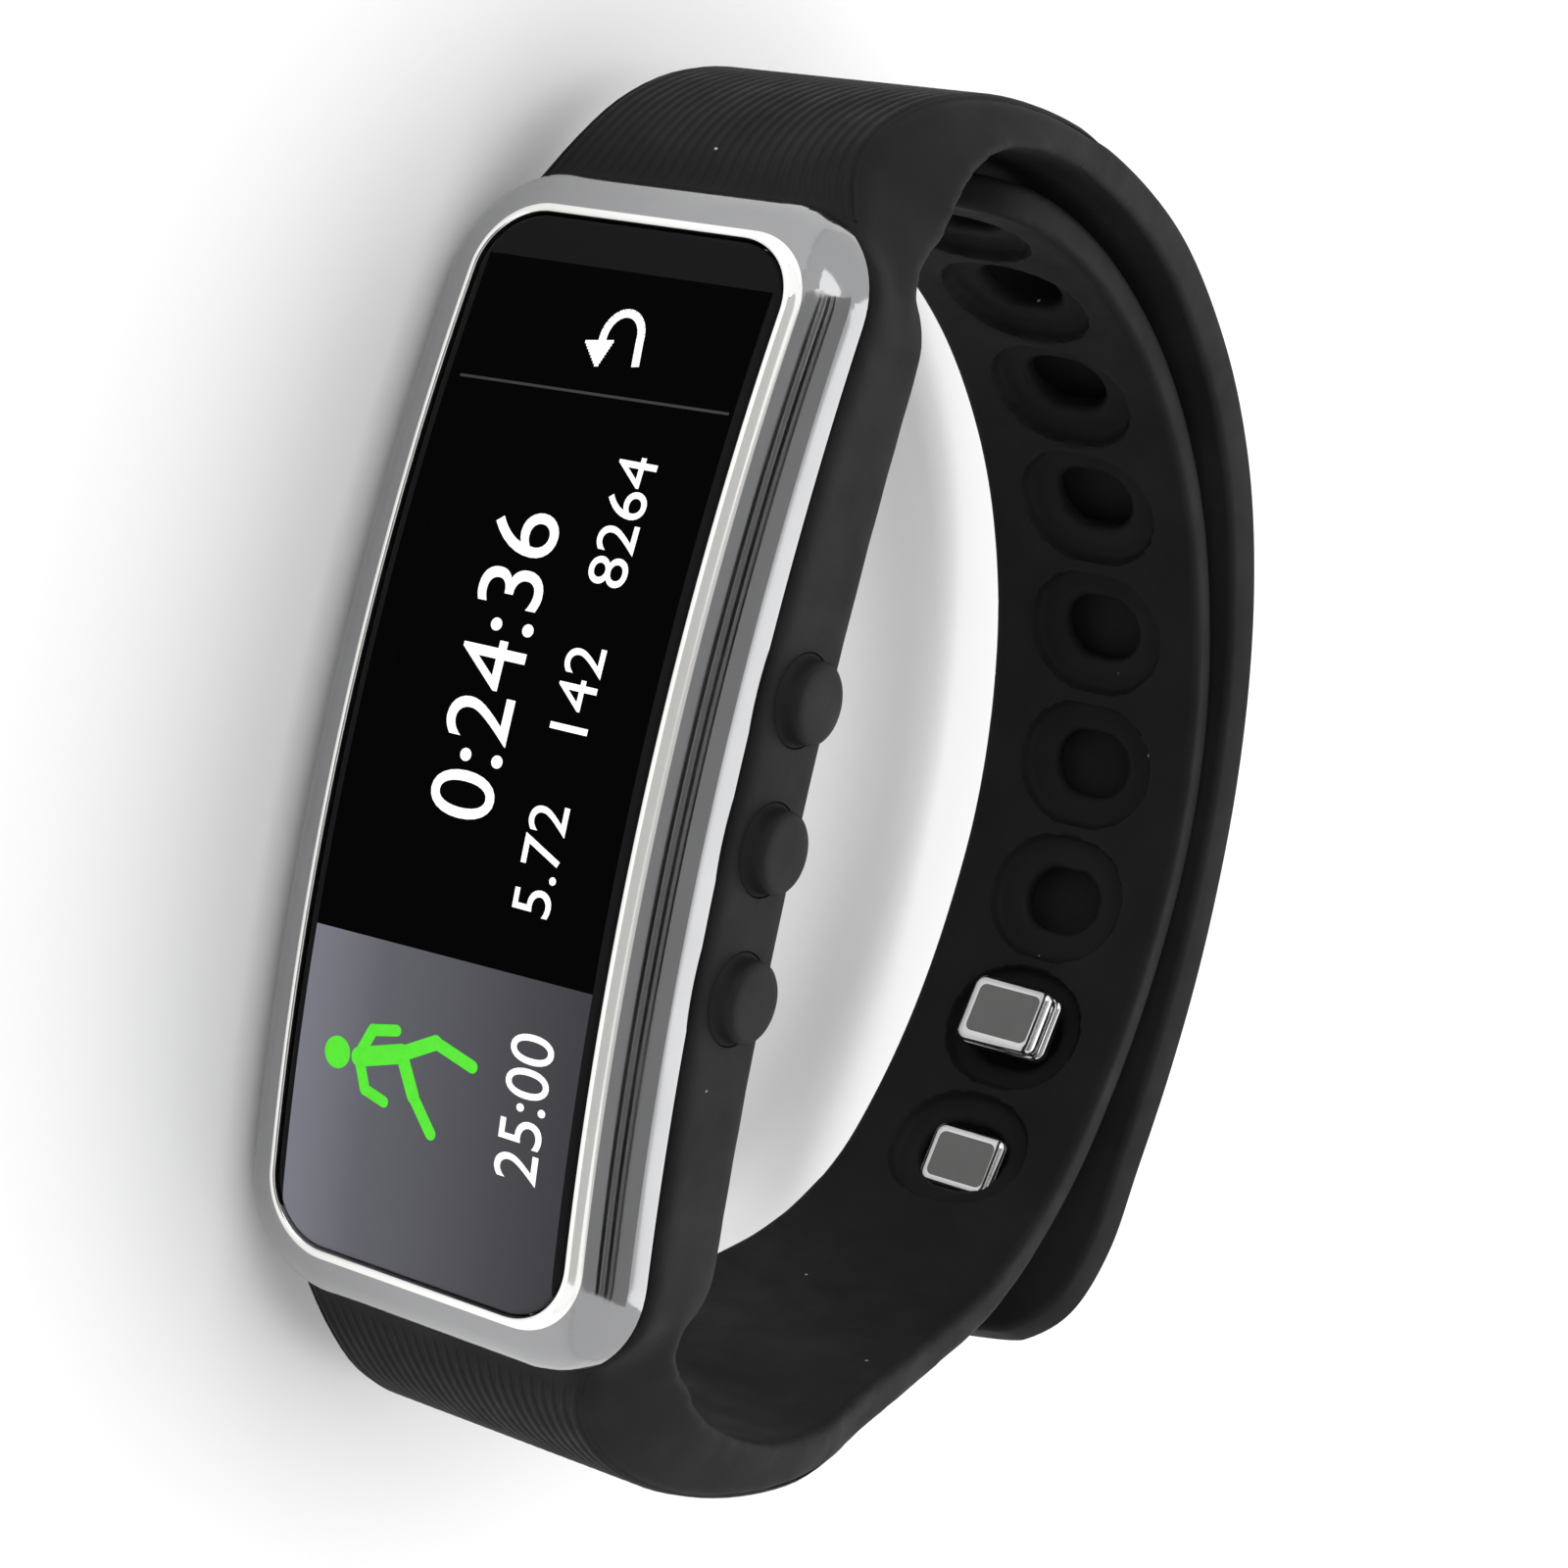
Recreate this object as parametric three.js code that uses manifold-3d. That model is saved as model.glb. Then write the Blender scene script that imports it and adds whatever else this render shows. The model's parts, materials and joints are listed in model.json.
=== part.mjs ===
// Fitness tracker band, closed round a wrist: a curved display module in a soft rubber band that is held by a
// two-stud clasp. Millimetres. +Z is the axis of the wrist loop, +X runs along the display from the clasp
// strap's root to the holed strap's root, and the display faces -Y. The band lies on its side at z = 0.
import * as THREE from "three";
import { mergeVertices } from "three/addons/utils/BufferGeometryUtils.js";
import Module from "manifold-3d";

const wasm = await Module();
wasm.setup();

// ---------- driving dimensions ----------
const ORIGIN = [1.3, -5.06, 12.2]; // moves the mid-plane frame so that the bounding box stands on the origin
const FRONT_Y = -26.8; // the glass's highest point
const BEND_R = 120; // the display is bent to this radius along X
const END_THINNING = 2.6; // how fast the module thins towards its ends, per square radian
const SEAT = 0.3; // gap between neighbouring moulded pieces

const GLASS = { l: 25.6, w: 8.8, r: 3.2 }; // half length, half width, corner radius
const BEZEL = { l: 28.7, w: 11.9, r: 5.6, depth: 2.75 };
const SLEEVE = { l: 28.9, w: 12.2, r: 5.7, front: 2.95, back: 9.1, wall: 1.6 };
const FRAME = { l: 27.0, w: 10.3, r: 4.1, front: 3.1, back: 8.1, wall: 1.0 };

const BUTTON = { r: 2.0, proud: 1.1, depth: 5.95, hole: 2.35, stem: 1.1 };
const BUTTON_X = [-5.6, 1.8, 9.2];

const HOLED_THICK = 1.9;

const SLOT = { across: 2.75, along: 2.25, pitch: 8.55, lastX: 19.0, count: 9 };
const POCKET = { across: 4.3, along: 3.85, depth: 0.7 };
const STUD = { across: 2.4, along: 1.9, neck: 0.45, head: 0.75, flange: 0.35, proud: [-0.6, 1.6] };
const PLATE = { margin: 5.6, width: 5.6, thick: 0.65 };

// Strap stations: [outer face x, y, outer half width, inner face x, y, inner half width].
const CLASP_PATH = [
  [-27.5, -20.8, 9.6, -26.3, -17.0, 11.5],
  [-30.0, -20.0, 8.5, -27.9, -15.4, 11.2],
  [-32.5, -17.9, 8.1, -30.2, -13.8, 10.7],
  [-34.7, -14.4, 8.1, -32.3, -11.8, 10.2],
  [-36.2, -10.0, 8.3, -33.9, -8.8, 9.8],
  [-37.0, -4.8, 8.6, -34.8, -4.4, 9.5],
  [-37.0, 0.8, 8.8, -34.85, 0.8, 9.2],
  [-36.2, 7.0, 8.8, -34.1, 6.55, 8.9],
  [-34.6, 13.0, 8.7, -32.5, 12.2, 8.6],
  [-31.8, 18.7, 8.6, -29.9, 17.55, 8.3],
  [-28.2, 23.9, 8.5, -26.5, 22.5, 8.1],
  [-23.6, 28.4, 8.45, -22.2, 26.7, 8.0],
  [-18.2, 31.9, 8.4, -17.2, 29.95, 7.9],
  [-12.4, 34.3, 8.4, -11.75, 32.2, 7.9],
  [-6.2, 35.8, 8.4, -5.8, 33.65, 7.9],
  [0.0, 36.4, 8.4, 0.1, 34.2, 7.9],
  [6.0, 36.3, 8.4, 5.8, 34.1, 7.9],
  [12.0, 35.5, 8.4, 11.5, 33.35, 7.9],
  [17.6, 34.2, 8.4, 17.0, 32.1, 7.9],
  [22.6, 33.1, 8.3, 21.9, 31.0, 7.8],
  [26.6, 32.1, 7.3, 25.9, 30.0, 6.8],
  [28.9, 31.4, 5.2, 28.2, 29.3, 4.7],
  [29.9, 31.1, 2.6, 29.2, 29.0, 2.1],
];
const HOLED_PATH = [
  [27.5, -20.8, 9.2, 26.3, -17.0, 11.5],
  [30.0, -19.2, 8.3, 27.6, -15.2, 11.3],
  [32.4, -16.0, 8.3, 29.3, -12.8, 10.9],
  [34.0, -11.4, 8.8, 30.7, -9.0, 10.6],
  [34.5, -5.6, 9.4, 31.5, -4.4, 10.3],
  [33.9, 0.8, 9.5, 31.2, 0.8, 9.8],
  [32.0, 6.6, 8.8, 29.7, 5.8, 9.0],
  [30.2, 11.6, 8.4, 28.2, 10.8, 8.5],
  [28.6, 16.0, 8.0, 26.7, 15.2, 8.0],
  [26.8, 20.2, 7.7, 25.1, 19.2, 7.7],
  [24.4, 23.8, 7.4, 23.0, 22.4, 7.4],
  [21.4, 26.8, 7.2, 20.3, 25.2, 7.2],
  [17.9, 29.1, 7.15, 17.1, 27.3, 7.15],
  [14.0, 30.9, 7.1, 13.4, 29.05, 7.1],
  [9.7, 32.3, 7.1, 9.3, 30.45, 7.1],
  [5.0, 33.3, 7.1, 4.8, 31.4, 7.1],
  [-0.6, 33.8, 7.1, -0.6, 31.9, 7.1],
  [-6.2, 33.3, 7.1, -5.8, 31.45, 7.1],
  [-11.6, 31.8, 7.05, -10.9, 30.05, 7.05],
  [-16.8, 29.3, 7.0, -15.8, 27.7, 7.0],
  [-21.6, 25.9, 6.95, -20.3, 24.55, 6.95],
  [-25.6, 21.8, 6.9, -24.0, 20.8, 6.9],
  [-28.9, 17.1, 6.85, -27.2, 16.3, 6.85],
  [-31.3, 12.1, 6.8, -29.5, 11.5, 6.8],
  [-32.9, 6.9, 6.8, -31.05, 6.6, 6.8],
  [-33.7, 1.6, 6.7, -31.8, 1.5, 6.7],
  [-33.8, -2.2, 5.8, -31.9, -2.1, 5.8],
  [-33.6, -4.6, 3.2, -31.8, -4.5, 3.2],
];
const CLASP_ROOT = 26; // arc length where each root, moulded with the sleeve, meets its strap
const HOLED_ROOT = 25;
const TAIL_FLEX_X = -4.4; // the tail bends open at this line
const TIP_SLOTS = 3.5; // slots beyond the line where the holed strap's tip bends inwards

// ---------- materials ----------
const look = (color, roughness, metalness) => new THREE.MeshStandardMaterial({ color, roughness, metalness });
const RUBBER = look(0x2a292b, 0.62, 0.0);
const CHROME = look(0xb4b6ba, 0.12, 1.0);
const GLASS_BLACK = look(0x060708, 0.06, 0.0);
const PLASTIC = look(0x1b1c1e, 0.5, 0.0);
const BUTTON_RUBBER = look(0x26262a, 0.5, 0.0);
const BOARD = look(0x114a2c, 0.55, 0.0);
const CHIP = look(0x0d0d0f, 0.4, 0.0);
const FOIL = look(0x8f9296, 0.35, 0.9);
const STEEL = look(0x8b8d90, 0.3, 1.0);
const GOLD = look(0xc9a24a, 0.25, 1.0);
const FLEX = look(0xa8662a, 0.5, 0.0);
const SILICONE = look(0x3b3c40, 0.8, 0.0);

// ---------- solids ----------
const part = new THREE.Group();
part.position.set(...ORIGIN);

function add(name, geometry, material) {
  const mesh = new THREE.Mesh(geometry, material);
  mesh.name = name;
  part.add(mesh);
  return mesh;
}

function toSolid(geometry) {
  const bare = geometry.index ? geometry.toNonIndexed() : geometry.clone();
  bare.deleteAttribute("normal");
  bare.deleteAttribute("uv");
  const merged = mergeVertices(bare, 1e-4);
  const mesh = new wasm.Mesh({
    numProp: 3,
    vertProperties: merged.attributes.position.array,
    triVerts: new Uint32Array(merged.index.array),
  });
  return new wasm.Manifold(mesh);
}

function toGeometry(solid) {
  const mesh = solid.getMesh();
  const geometry = new THREE.BufferGeometry();
  geometry.setAttribute("position", new THREE.BufferAttribute(new Float32Array(mesh.vertProperties), 3));
  geometry.setIndex(new THREE.BufferAttribute(new Uint32Array(mesh.triVerts), 1));
  geometry.computeVertexNormals();
  return geometry;
}

const cut = (body, ...tools) => toGeometry(tools.reduce((s, t) => s.subtract(toSolid(t)), toSolid(body)));

// Closed surface through equal rings of points; the rings' halves mirror each other, so the caps are strips.
function loft(rings) {
  const count = rings[0].length;
  const half = count / 2;
  const index = [];
  for (let r = 0; r + 1 < rings.length; r++)
    for (let i = 0; i < count; i++) {
      const a = r * count + i;
      const b = r * count + ((i + 1) % count);
      index.push(a, b, a + count, b, b + count, a + count);
    }
  const last = (rings.length - 1) * count;
  for (let i = 0; i + 1 < half; i++) {
    const a = i;
    const b = i + 1;
    const c = count - 2 - i;
    const d = count - 1 - i;
    index.push(a, c, b, a, d, c);
    index.push(last + a, last + b, last + c, last + a, last + c, last + d);
  }
  const geometry = new THREE.BufferGeometry();
  geometry.setAttribute("position", new THREE.Float32BufferAttribute(rings.flat(2), 3));
  geometry.setIndex(signedVolume(rings.flat(), index) < 0 ? flipped(index) : index);
  geometry.computeVertexNormals();
  return geometry;
}

function signedVolume(points, index) {
  const [a, b, c] = [new THREE.Vector3(), new THREE.Vector3(), new THREE.Vector3()];
  let six = 0;
  for (let i = 0; i < index.length; i += 3) {
    a.fromArray(points[index[i]]);
    b.fromArray(points[index[i + 1]]);
    c.fromArray(points[index[i + 2]]);
    six += a.dot(b.cross(c));
  }
  return six;
}

function flipped(index) {
  const out = [];
  for (let i = 0; i < index.length; i += 3) out.push(index[i], index[i + 2], index[i + 1]);
  return out;
}

// ---------- the module's curved space: u along the display, n into the module, z across ----------
function bend(u, n, z) {
  const angle = u / BEND_R;
  const r = BEND_R - n * (1 - END_THINNING * angle * angle);
  return [r * Math.sin(angle), FRONT_Y + BEND_R - r * Math.cos(angle), z];
}

// Half of a rounded rectangle's outline, from one end round one long side to the other end.
function halfOutline(l, w, r) {
  const corner = 4;
  const straight = 12;
  const points = [];
  for (let i = 0; i <= corner; i++) {
    const a = Math.PI - (i / corner) * (Math.PI / 2);
    points.push([r - l + r * Math.cos(a), w - r + r * Math.sin(a)]);
  }
  for (let i = 1; i < straight; i++) points.push([(r - l) * (1 - (2 * i) / straight), w]);
  for (let i = corner; i >= 0; i--) {
    const a = Math.PI - (i / corner) * (Math.PI / 2);
    points.push([l - r - r * Math.cos(a), w - r + r * Math.sin(a)]);
  }
  return points;
}

// Curved slab through rings [half length, half width, corner radius, depth], moved by u0 and z0.
function slab(rings, u0 = 0, z0 = 0) {
  return loft(
    rings.map(([l, w, r, n]) => {
      const side = halfOutline(l, w, r);
      const back = side.slice().reverse();
      return [
        ...side.map(([u, z]) => bend(u + u0, n, z + z0)),
        ...back.map(([u, z]) => bend(u + u0, n, z0 - z)),
      ];
    }),
  );
}

// Sets a mesh into the module at u, n, z with its own +Y pointing into the module.
function seat(mesh, u, n, z) {
  mesh.position.fromArray(bend(u, n, z));
  mesh.rotation.z = u / BEND_R;
  return mesh;
}

// ---------- straps ----------
// A strap's two faces as curves through its stations, tabled by arc length along the mid-line.
function strapPath(stations) {
  const curve = (i) => {
    const points = stations.map((row) => new THREE.Vector3(row[i], row[i + 1], row[i + 2]));
    return new THREE.CatmullRomCurve3(points, false, "catmullrom", 0.5);
  };
  const [outer, inner] = [curve(0), curve(3)];
  const steps = 1200;
  const table = [];
  for (let i = 0; i <= steps; i++) {
    const row = { outer: outer.getPoint(i / steps), inner: inner.getPoint(i / steps) };
    row.mid = row.outer.clone().lerp(row.inner, 0.5).setZ(0);
    row.s = i ? table[i - 1].s + row.mid.distanceTo(table[i - 1].mid) : 0;
    table.push(row);
  }
  return table;
}

function along(table, s) {
  const i = Math.max(1, table.findIndex((row) => row.s >= s - 1e-9));
  const [a, b] = [table[i - 1], table[i]];
  const t = (s - a.s) / (b.s - a.s);
  return Object.fromEntries(["outer", "inner", "mid"].map((key) => [key, a[key].clone().lerp(b[key], t)]));
}

// Strap body between two arc lengths with eased edges. f0 and f1 say how far it lies from the inner face, at 0,
// to the outer face, at 1; width overrides the strap's own half width.
function ribbon(table, from, to, step, { f0 = 0, f1 = 1, width, endStep = step } = {}) {
  const stops = [from];
  while (stops.at(-1) + step * 1.4 < to) stops.push(stops.at(-1) + (to - stops.at(-1) < 8 ? endStep : step));
  stops.push(to);
  return loft(
    stops.map((s) => {
      const { outer, inner } = along(table, s);
      const corner = (f, inset) => {
        const p = inner.clone().lerp(outer, f);
        return [p.x, p.y, (width ? width(s) : p.z) - inset];
      };
      const rise = f1 - f0;
      const ease = Math.min(0.45, 0.25 * rise * 2.2);
      const side = [corner(f0, ease), corner(f0 + 0.22 * rise, 0), corner(f1 - 0.22 * rise, 0), corner(f1, ease)];
      return [...side, ...side.map(([x, y, z]) => [x, y, -z]).reverse()];
    }),
  );
}

const lengthAtX = (table, x) =>
  table.find((row, i) => i && row.mid.y > 0 && (row.mid.x - x) * (table[i - 1].mid.x - x) <= 0).s;

// Placing matrix on a strap: X across it, Z along the given direction in the XY plane, out of its wrist side.
function strapMatrix(at, direction) {
  const z = new THREE.Vector3(direction.x, direction.y, 0).normalize();
  const x = new THREE.Vector3(0, 0, 1);
  const y = new THREE.Vector3().crossVectors(z, x);
  return new THREE.Matrix4().makeBasis(x, y, z).setPosition(at.x, at.y, 0);
}

// Long-hole prism: across and along are half sizes, the long axis lies across the strap.
function longHole(across, length, z0, z1, segments = 7) {
  const shape = new THREE.Shape();
  const c = across - length;
  shape.absarc(c, 0, length, -Math.PI / 2, Math.PI / 2, false);
  shape.absarc(-c, 0, length, Math.PI / 2, 1.5 * Math.PI, false);
  const options = { depth: z1 - z0, bevelEnabled: false, curveSegments: segments };
  return new THREE.ExtrudeGeometry(shape, options).translate(0, 0, z0);
}

const claspTable = strapPath(CLASP_PATH);
const holedTable = strapPath(HOLED_PATH);
const claspEnd = claspTable.at(-1).s;
const holedEnd = holedTable.at(-1).s;
const tailFlex = lengthAtX(claspTable, TAIL_FLEX_X);
const slotLength = (k) => lengthAtX(holedTable, SLOT.lastX) + k * SLOT.pitch;
const tipFlex = slotLength(SLOT.count - TIP_SLOTS);

// ---------- module ----------
function buildSleeve() {
  const { l, w, r, front, back, wall } = SLEEVE;
  const shell = slab([
    [l - 0.35, w - 0.35, r - 0.3, front],
    [l, w, r, front + 0.35],
    [l, w, r, back - 1.2],
    [l - 0.35, w - 0.35, r - 0.3, back - 0.35],
    [l - 1.0, w - 1.0, r - 0.9, back],
  ]);
  const hollow = slab([
    [l - wall, w - wall, r - wall, front - 2],
    [l - wall, w - wall, r - wall, back + 2],
  ]);
  const claspRoot = ribbon(claspTable, 0, CLASP_ROOT - SEAT / 2, 1.6);
  const holedRoot = ribbon(holedTable, 0, HOLED_ROOT - SEAT / 2, 1.6);
  const holes = BUTTON_X.map((u) => buttonRod(u, BUTTON.hole, w - wall - 1.5, w + 1));
  const body = toSolid(shell).add(toSolid(claspRoot)).add(toSolid(holedRoot));
  const trimmed = [hollow, ...holes].reduce((s, g) => s.subtract(toSolid(g)), body);
  add("case_sleeve", toGeometry(trimmed), RUBBER);
}

// Round rod along Z at a button's place.
function buttonRod(u, radius, z0, z1, sides = 24) {
  const [x, y] = bend(u, BUTTON.depth, 0);
  return new THREE.CylinderGeometry(radius, radius, z1 - z0, sides)
    .rotateX(Math.PI / 2)
    .translate(x, y, (z0 + z1) / 2);
}

function buildBezel() {
  const { l, w, r, depth } = BEZEL;
  const gap = 0.3;
  const body = slab([
    [GLASS.l + gap + 0.45, GLASS.w + gap + 0.45, GLASS.r + 0.6, -0.12],
    [GLASS.l + gap + 0.6, GLASS.w + gap + 0.6, GLASS.r + 0.75, 0.02],
    [l - 0.9, w - 0.9, r - 0.7, 1.65],
    [l - 0.12, w - 0.12, r - 0.1, 2.3],
    [l, w, r, 2.55],
    [l, w, r, depth],
  ]);
  const hole = slab([
    [GLASS.l + gap, GLASS.w + gap, GLASS.r + 0.2, -2],
    [GLASS.l + gap, GLASS.w + gap, GLASS.r + 0.2, 5],
  ]);
  add("bezel", cut(body, hole), CHROME);
}

function buildLens() {
  const { l, w, r } = GLASS;
  add("lens", slab([[l - 0.35, w - 0.35, r - 0.2, 0], [l, w, r, 0.25], [l, w, r, 0.95]]), GLASS_BLACK);
}

function buildDisplay() {
  add("display_panel", slab([[25, 8.3, 2.4, 1.05], [25, 8.3, 2.4, 2.3]]), CHIP);
  add("display_flex", slab([[3.5, 4.5, 0.6, 2.45], [3.5, 4.5, 0.6, 2.8]], 20), FLEX);
}

function buildMidFrame() {
  const { l, w, r, front, back, wall } = FRAME;
  const body = slab([[l, w, r, front], [l, w, r, back]]);
  const tray = slab([[l - wall, w - wall, r - wall, front - 1], [l - wall, w - wall, r - wall, front + 0.5]]);
  const bay = slab([[l - wall, w - wall, r - wall, front + 1.2], [l - wall, w - wall, r - wall, back + 1]]);
  const stems = BUTTON_X.map((u) => buttonRod(u, BUTTON.stem + 0.35, w - wall - 0.8, w + 1, 16));
  add("mid_frame", cut(body, tray, bay, ...stems), STEEL);
}

function buildInsides() {
  add("battery", slab([[11.6, 7.2, 1.0, 4.75], [11.6, 7.2, 1.0, 7.7]], -12.6), FOIL);
  add("battery_pad", slab([[10.5, 6.4, 0.8, 4.4], [10.5, 6.4, 0.8, 4.6]], -12.6), SILICONE);
  add("main_board", slab([[11.4, 7.4, 1.0, 5.0], [11.4, 7.4, 1.0, 5.8]], 12.2), BOARD);
  seat(add("processor_chip", new THREE.BoxGeometry(6.4, 0.8, 6.4), CHIP), 6.6, 6.35, 0);
  seat(add("radio_chip", new THREE.BoxGeometry(4.2, 0.7, 4.2), CHIP), 13.4, 6.3, -3);
  seat(add("motion_chip", new THREE.BoxGeometry(2.4, 0.6, 2.4), CHIP), 13.4, 6.25, 3.2);
  seat(add("vibration_motor", new THREE.CylinderGeometry(3.6, 3.6, 1.6, 24), STEEL), 19.6, 6.85, 0);
  BUTTON_X.forEach((u, i) => {
    const [x, y] = bend(u, BUTTON.depth, 0);
    const body = new THREE.BoxGeometry(3.0, 2.6, 0.7).translate(x, y, 8.25);
    add("tact_switch_" + (i + 1), body, STEEL);
  });
}

function buildBackCover() {
  const { l, w, r } = FRAME;
  const back = SLEEVE.back;
  const cover = slab([
    [l, w, r, FRAME.back + 0.3],
    [l, w, r, back + 0.1],
    [l - 0.5, w - 0.5, r - 0.4, back + 0.55],
    [l - 1.6, w - 1.6, r - 1.2, back + 0.8],
  ]);
  const [, floorY] = bend(0, back + 1.15, 0);
  const pad = new THREE.BoxGeometry(18, 1.2, 13).translate(0, floorY - 0.6, 0);
  const contacts = contactPlaces().map(([x, z]) =>
    new THREE.CylinderGeometry(1.45, 1.45, 0.8, 20).translate(x, floorY, z));
  const screws = screwPlaces().map(([u, z]) => screwBlank(u, z, 1.15, back - 0.1, back + 3));
  const solid = [...contacts, ...screws].reduce(
    (s, g) => s.subtract(toSolid(g)), toSolid(cover).add(toSolid(pad)));
  add("back_cover", toGeometry(solid), PLASTIC);
  contactPlaces().forEach(([x, z], i) => {
    const disc = new THREE.CylinderGeometry(1.15, 1.15, 0.3, 20).translate(x, floorY - 0.22, z);
    add("charge_contact_" + (i + 1), disc, GOLD);
  });
  screwPlaces().forEach(([u, z], i) => {
    add("cover_screw_" + (i + 1), screwBlank(u, z, 0.85, back + 0.02, back + 0.6), STEEL);
  });
}

const contactPlaces = () => [[-4.5, 0], [4.5, 0]];
const screwPlaces = () => [[-22.5, -6.6], [-22.5, 6.6], [22.5, -6.6], [22.5, 6.6]];

function screwBlank(u, z, radius, n0, n1) {
  const mid = bend(u, (n0 + n1) / 2, z);
  return new THREE.CylinderGeometry(radius, radius, n1 - n0, 20)
    .rotateZ(u / BEND_R)
    .translate(...mid);
}

function buildButtons() {
  const wall = SLEEVE.w;
  const top = wall + BUTTON.proud;
  const profile = [
    [0, 9.2], [BUTTON.stem, 9.2], [BUTTON.stem, 11.0], [BUTTON.r, 11.0],
    [BUTTON.r, top - 0.35], [BUTTON.r - 0.1, top - 0.1], [BUTTON.r - 0.35, top], [0, top + 0.05],
  ].map(([r, z]) => new THREE.Vector2(r, z));
  BUTTON_X.forEach((u, i) => {
    const [x, y] = bend(u, BUTTON.depth, 0);
    const cap = new THREE.LatheGeometry(profile, 24).rotateX(Math.PI / 2).translate(x, y, 0);
    add("button_cap_" + (i + 1), cap, BUTTON_RUBBER);
  });
}

// ---------- band ----------
// The clasp's studs share one direction, square to the line from the tail's flex line to their middle.
function claspDirection() {
  const hinge = along(claspTable, tailFlex).outer;
  const middle = along(holedTable, slotLength(0.5)).mid;
  const chord = middle.clone().sub(hinge);
  return new THREE.Vector3(chord.y, -chord.x, 0).normalize();
}

// Distance from a point on the holed strap out to the clasp strap's outer face, against the studs' direction.
function reachOut(from, direction) {
  const side = new THREE.Vector3(-direction.y, direction.x, 0);
  const off = (row) => Math.abs(row.outer.clone().sub(from).setZ(0).dot(side));
  const nearest = claspTable.filter((row) => row.mid.y > 0).reduce((a, b) => (off(b) < off(a) ? b : a));
  return { reach: -nearest.outer.clone().sub(from).setZ(0).dot(direction), s: nearest.s };
}

function holeTools(k) {
  const here = along(holedTable, slotLength(k));
  const normal = here.inner.clone().sub(here.outer);
  const slot = longHole(SLOT.across, SLOT.along, -4, 4)
    .applyMatrix4(strapMatrix(here.mid, k < 2 ? claspDirection() : normal));
  const pocket = longHole(POCKET.across, POCKET.along, -POCKET.depth, 3).applyMatrix4(strapMatrix(here.inner, normal));
  return [slot, pocket];
}

function buildHoledStrap() {
  const slots = [...Array(SLOT.count).keys()];
  const inTip = (k) => slotLength(k) > tipFlex;
  const strap = ribbon(holedTable, HOLED_ROOT + SEAT / 2, tipFlex - SEAT / 2, 2.6);
  const tip = ribbon(holedTable, tipFlex + SEAT / 2, holedEnd, 2.6, { endStep: 1.1 });
  add("holed_strap", cut(strap, ...slots.filter((k) => !inTip(k)).flatMap(holeTools)), RUBBER);
  add("strap_tip", cut(tip, ...slots.filter(inTip).flatMap(holeTools)), RUBBER);
}

function buildClaspStrap() {
  add("outer_strap", ribbon(claspTable, CLASP_ROOT + SEAT / 2, tailFlex - SEAT / 2, 2.6), RUBBER);
  const direction = claspDirection();
  const places = [0, 1].map((k) => {
    const at = along(holedTable, slotLength(k)).mid;
    return { at, ...reachOut(at, direction) };
  });
  const neck = [STUD.across - STUD.neck, STUD.along - STUD.neck];
  const holes = places.map(({ at }) =>
    longHole(neck[0] + SEAT, neck[1] + SEAT, -9, -0.2).applyMatrix4(strapMatrix(at, direction)));
  const tail = ribbon(claspTable, tailFlex + SEAT / 2, claspEnd, 2.6, { endStep: 1.1 });
  add("strap_tail", cut(tail, ...holes), RUBBER);

  const [from, to] = [places[1].s - PLATE.margin, places[0].s + PLATE.margin];
  const width = (s) => PLATE.width - 1.6 * Math.max(0, 1 - Math.min(s - from, to - s) / 1.4) ** 2;
  const rise = (mm) => 1 + mm / 2.2;
  const plate = { f0: rise(0.12), f1: rise(0.12 + PLATE.thick), width, endStep: 1.3 };
  add("clasp_plate", ribbon(claspTable, from, to, 1.3, plate), CHROME);
  places.forEach(({ at, reach }, i) => {
    const top = HOLED_THICK / 2 + STUD.proud[i];
    const column = longHole(...neck, SEAT - reach, top - STUD.head + 0.1);
    const flange = longHole(STUD.across, STUD.along, top - STUD.head, top - STUD.head + STUD.flange);
    const groove = longHole(neck[0] + 0.1, neck[1] + 0.1, top - STUD.head + STUD.flange - 0.01, top - 0.25);
    const head = longHole(STUD.across, STUD.along, top - 0.28, top);
    const stud = [flange, groove, head].reduce((s, g) => s.add(toSolid(g)), toSolid(column));
    add("clasp_stud_" + (i + 1), toGeometry(stud).applyMatrix4(strapMatrix(at, direction)), CHROME);
  });
}

buildSleeve();
buildBezel();
buildLens();
buildDisplay();
buildMidFrame();
buildInsides();
buildBackCover();
buildButtons();
buildHoledStrap();
buildClaspStrap();

export default part;
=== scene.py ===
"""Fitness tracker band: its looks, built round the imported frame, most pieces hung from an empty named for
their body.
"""

import json
import math

import bmesh
import bpy
import numpy as np
from bpy.props import FloatProperty, FloatVectorProperty, IntProperty, PointerProperty, StringProperty
from mathutils import Matrix, Vector


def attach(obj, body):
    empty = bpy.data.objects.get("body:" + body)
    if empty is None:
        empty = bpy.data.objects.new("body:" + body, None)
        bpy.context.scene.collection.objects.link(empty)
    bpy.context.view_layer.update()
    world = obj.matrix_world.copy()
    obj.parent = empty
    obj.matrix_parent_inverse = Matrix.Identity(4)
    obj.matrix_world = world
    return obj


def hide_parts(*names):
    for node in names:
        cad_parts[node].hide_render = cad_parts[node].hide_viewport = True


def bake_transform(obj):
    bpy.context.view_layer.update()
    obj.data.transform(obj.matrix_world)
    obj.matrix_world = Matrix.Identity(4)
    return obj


bl_info = {
    "name": "Fitness Tracker Band",
    "version": (1, 0, 0),
    "blender": (4, 5, 0),
    "location": "3D View > Sidebar > Band",
    "description": "Builds the band, bezel, glass, screen picture, buttons and clasp over the packed frame",
    "category": "Object",
}

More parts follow.
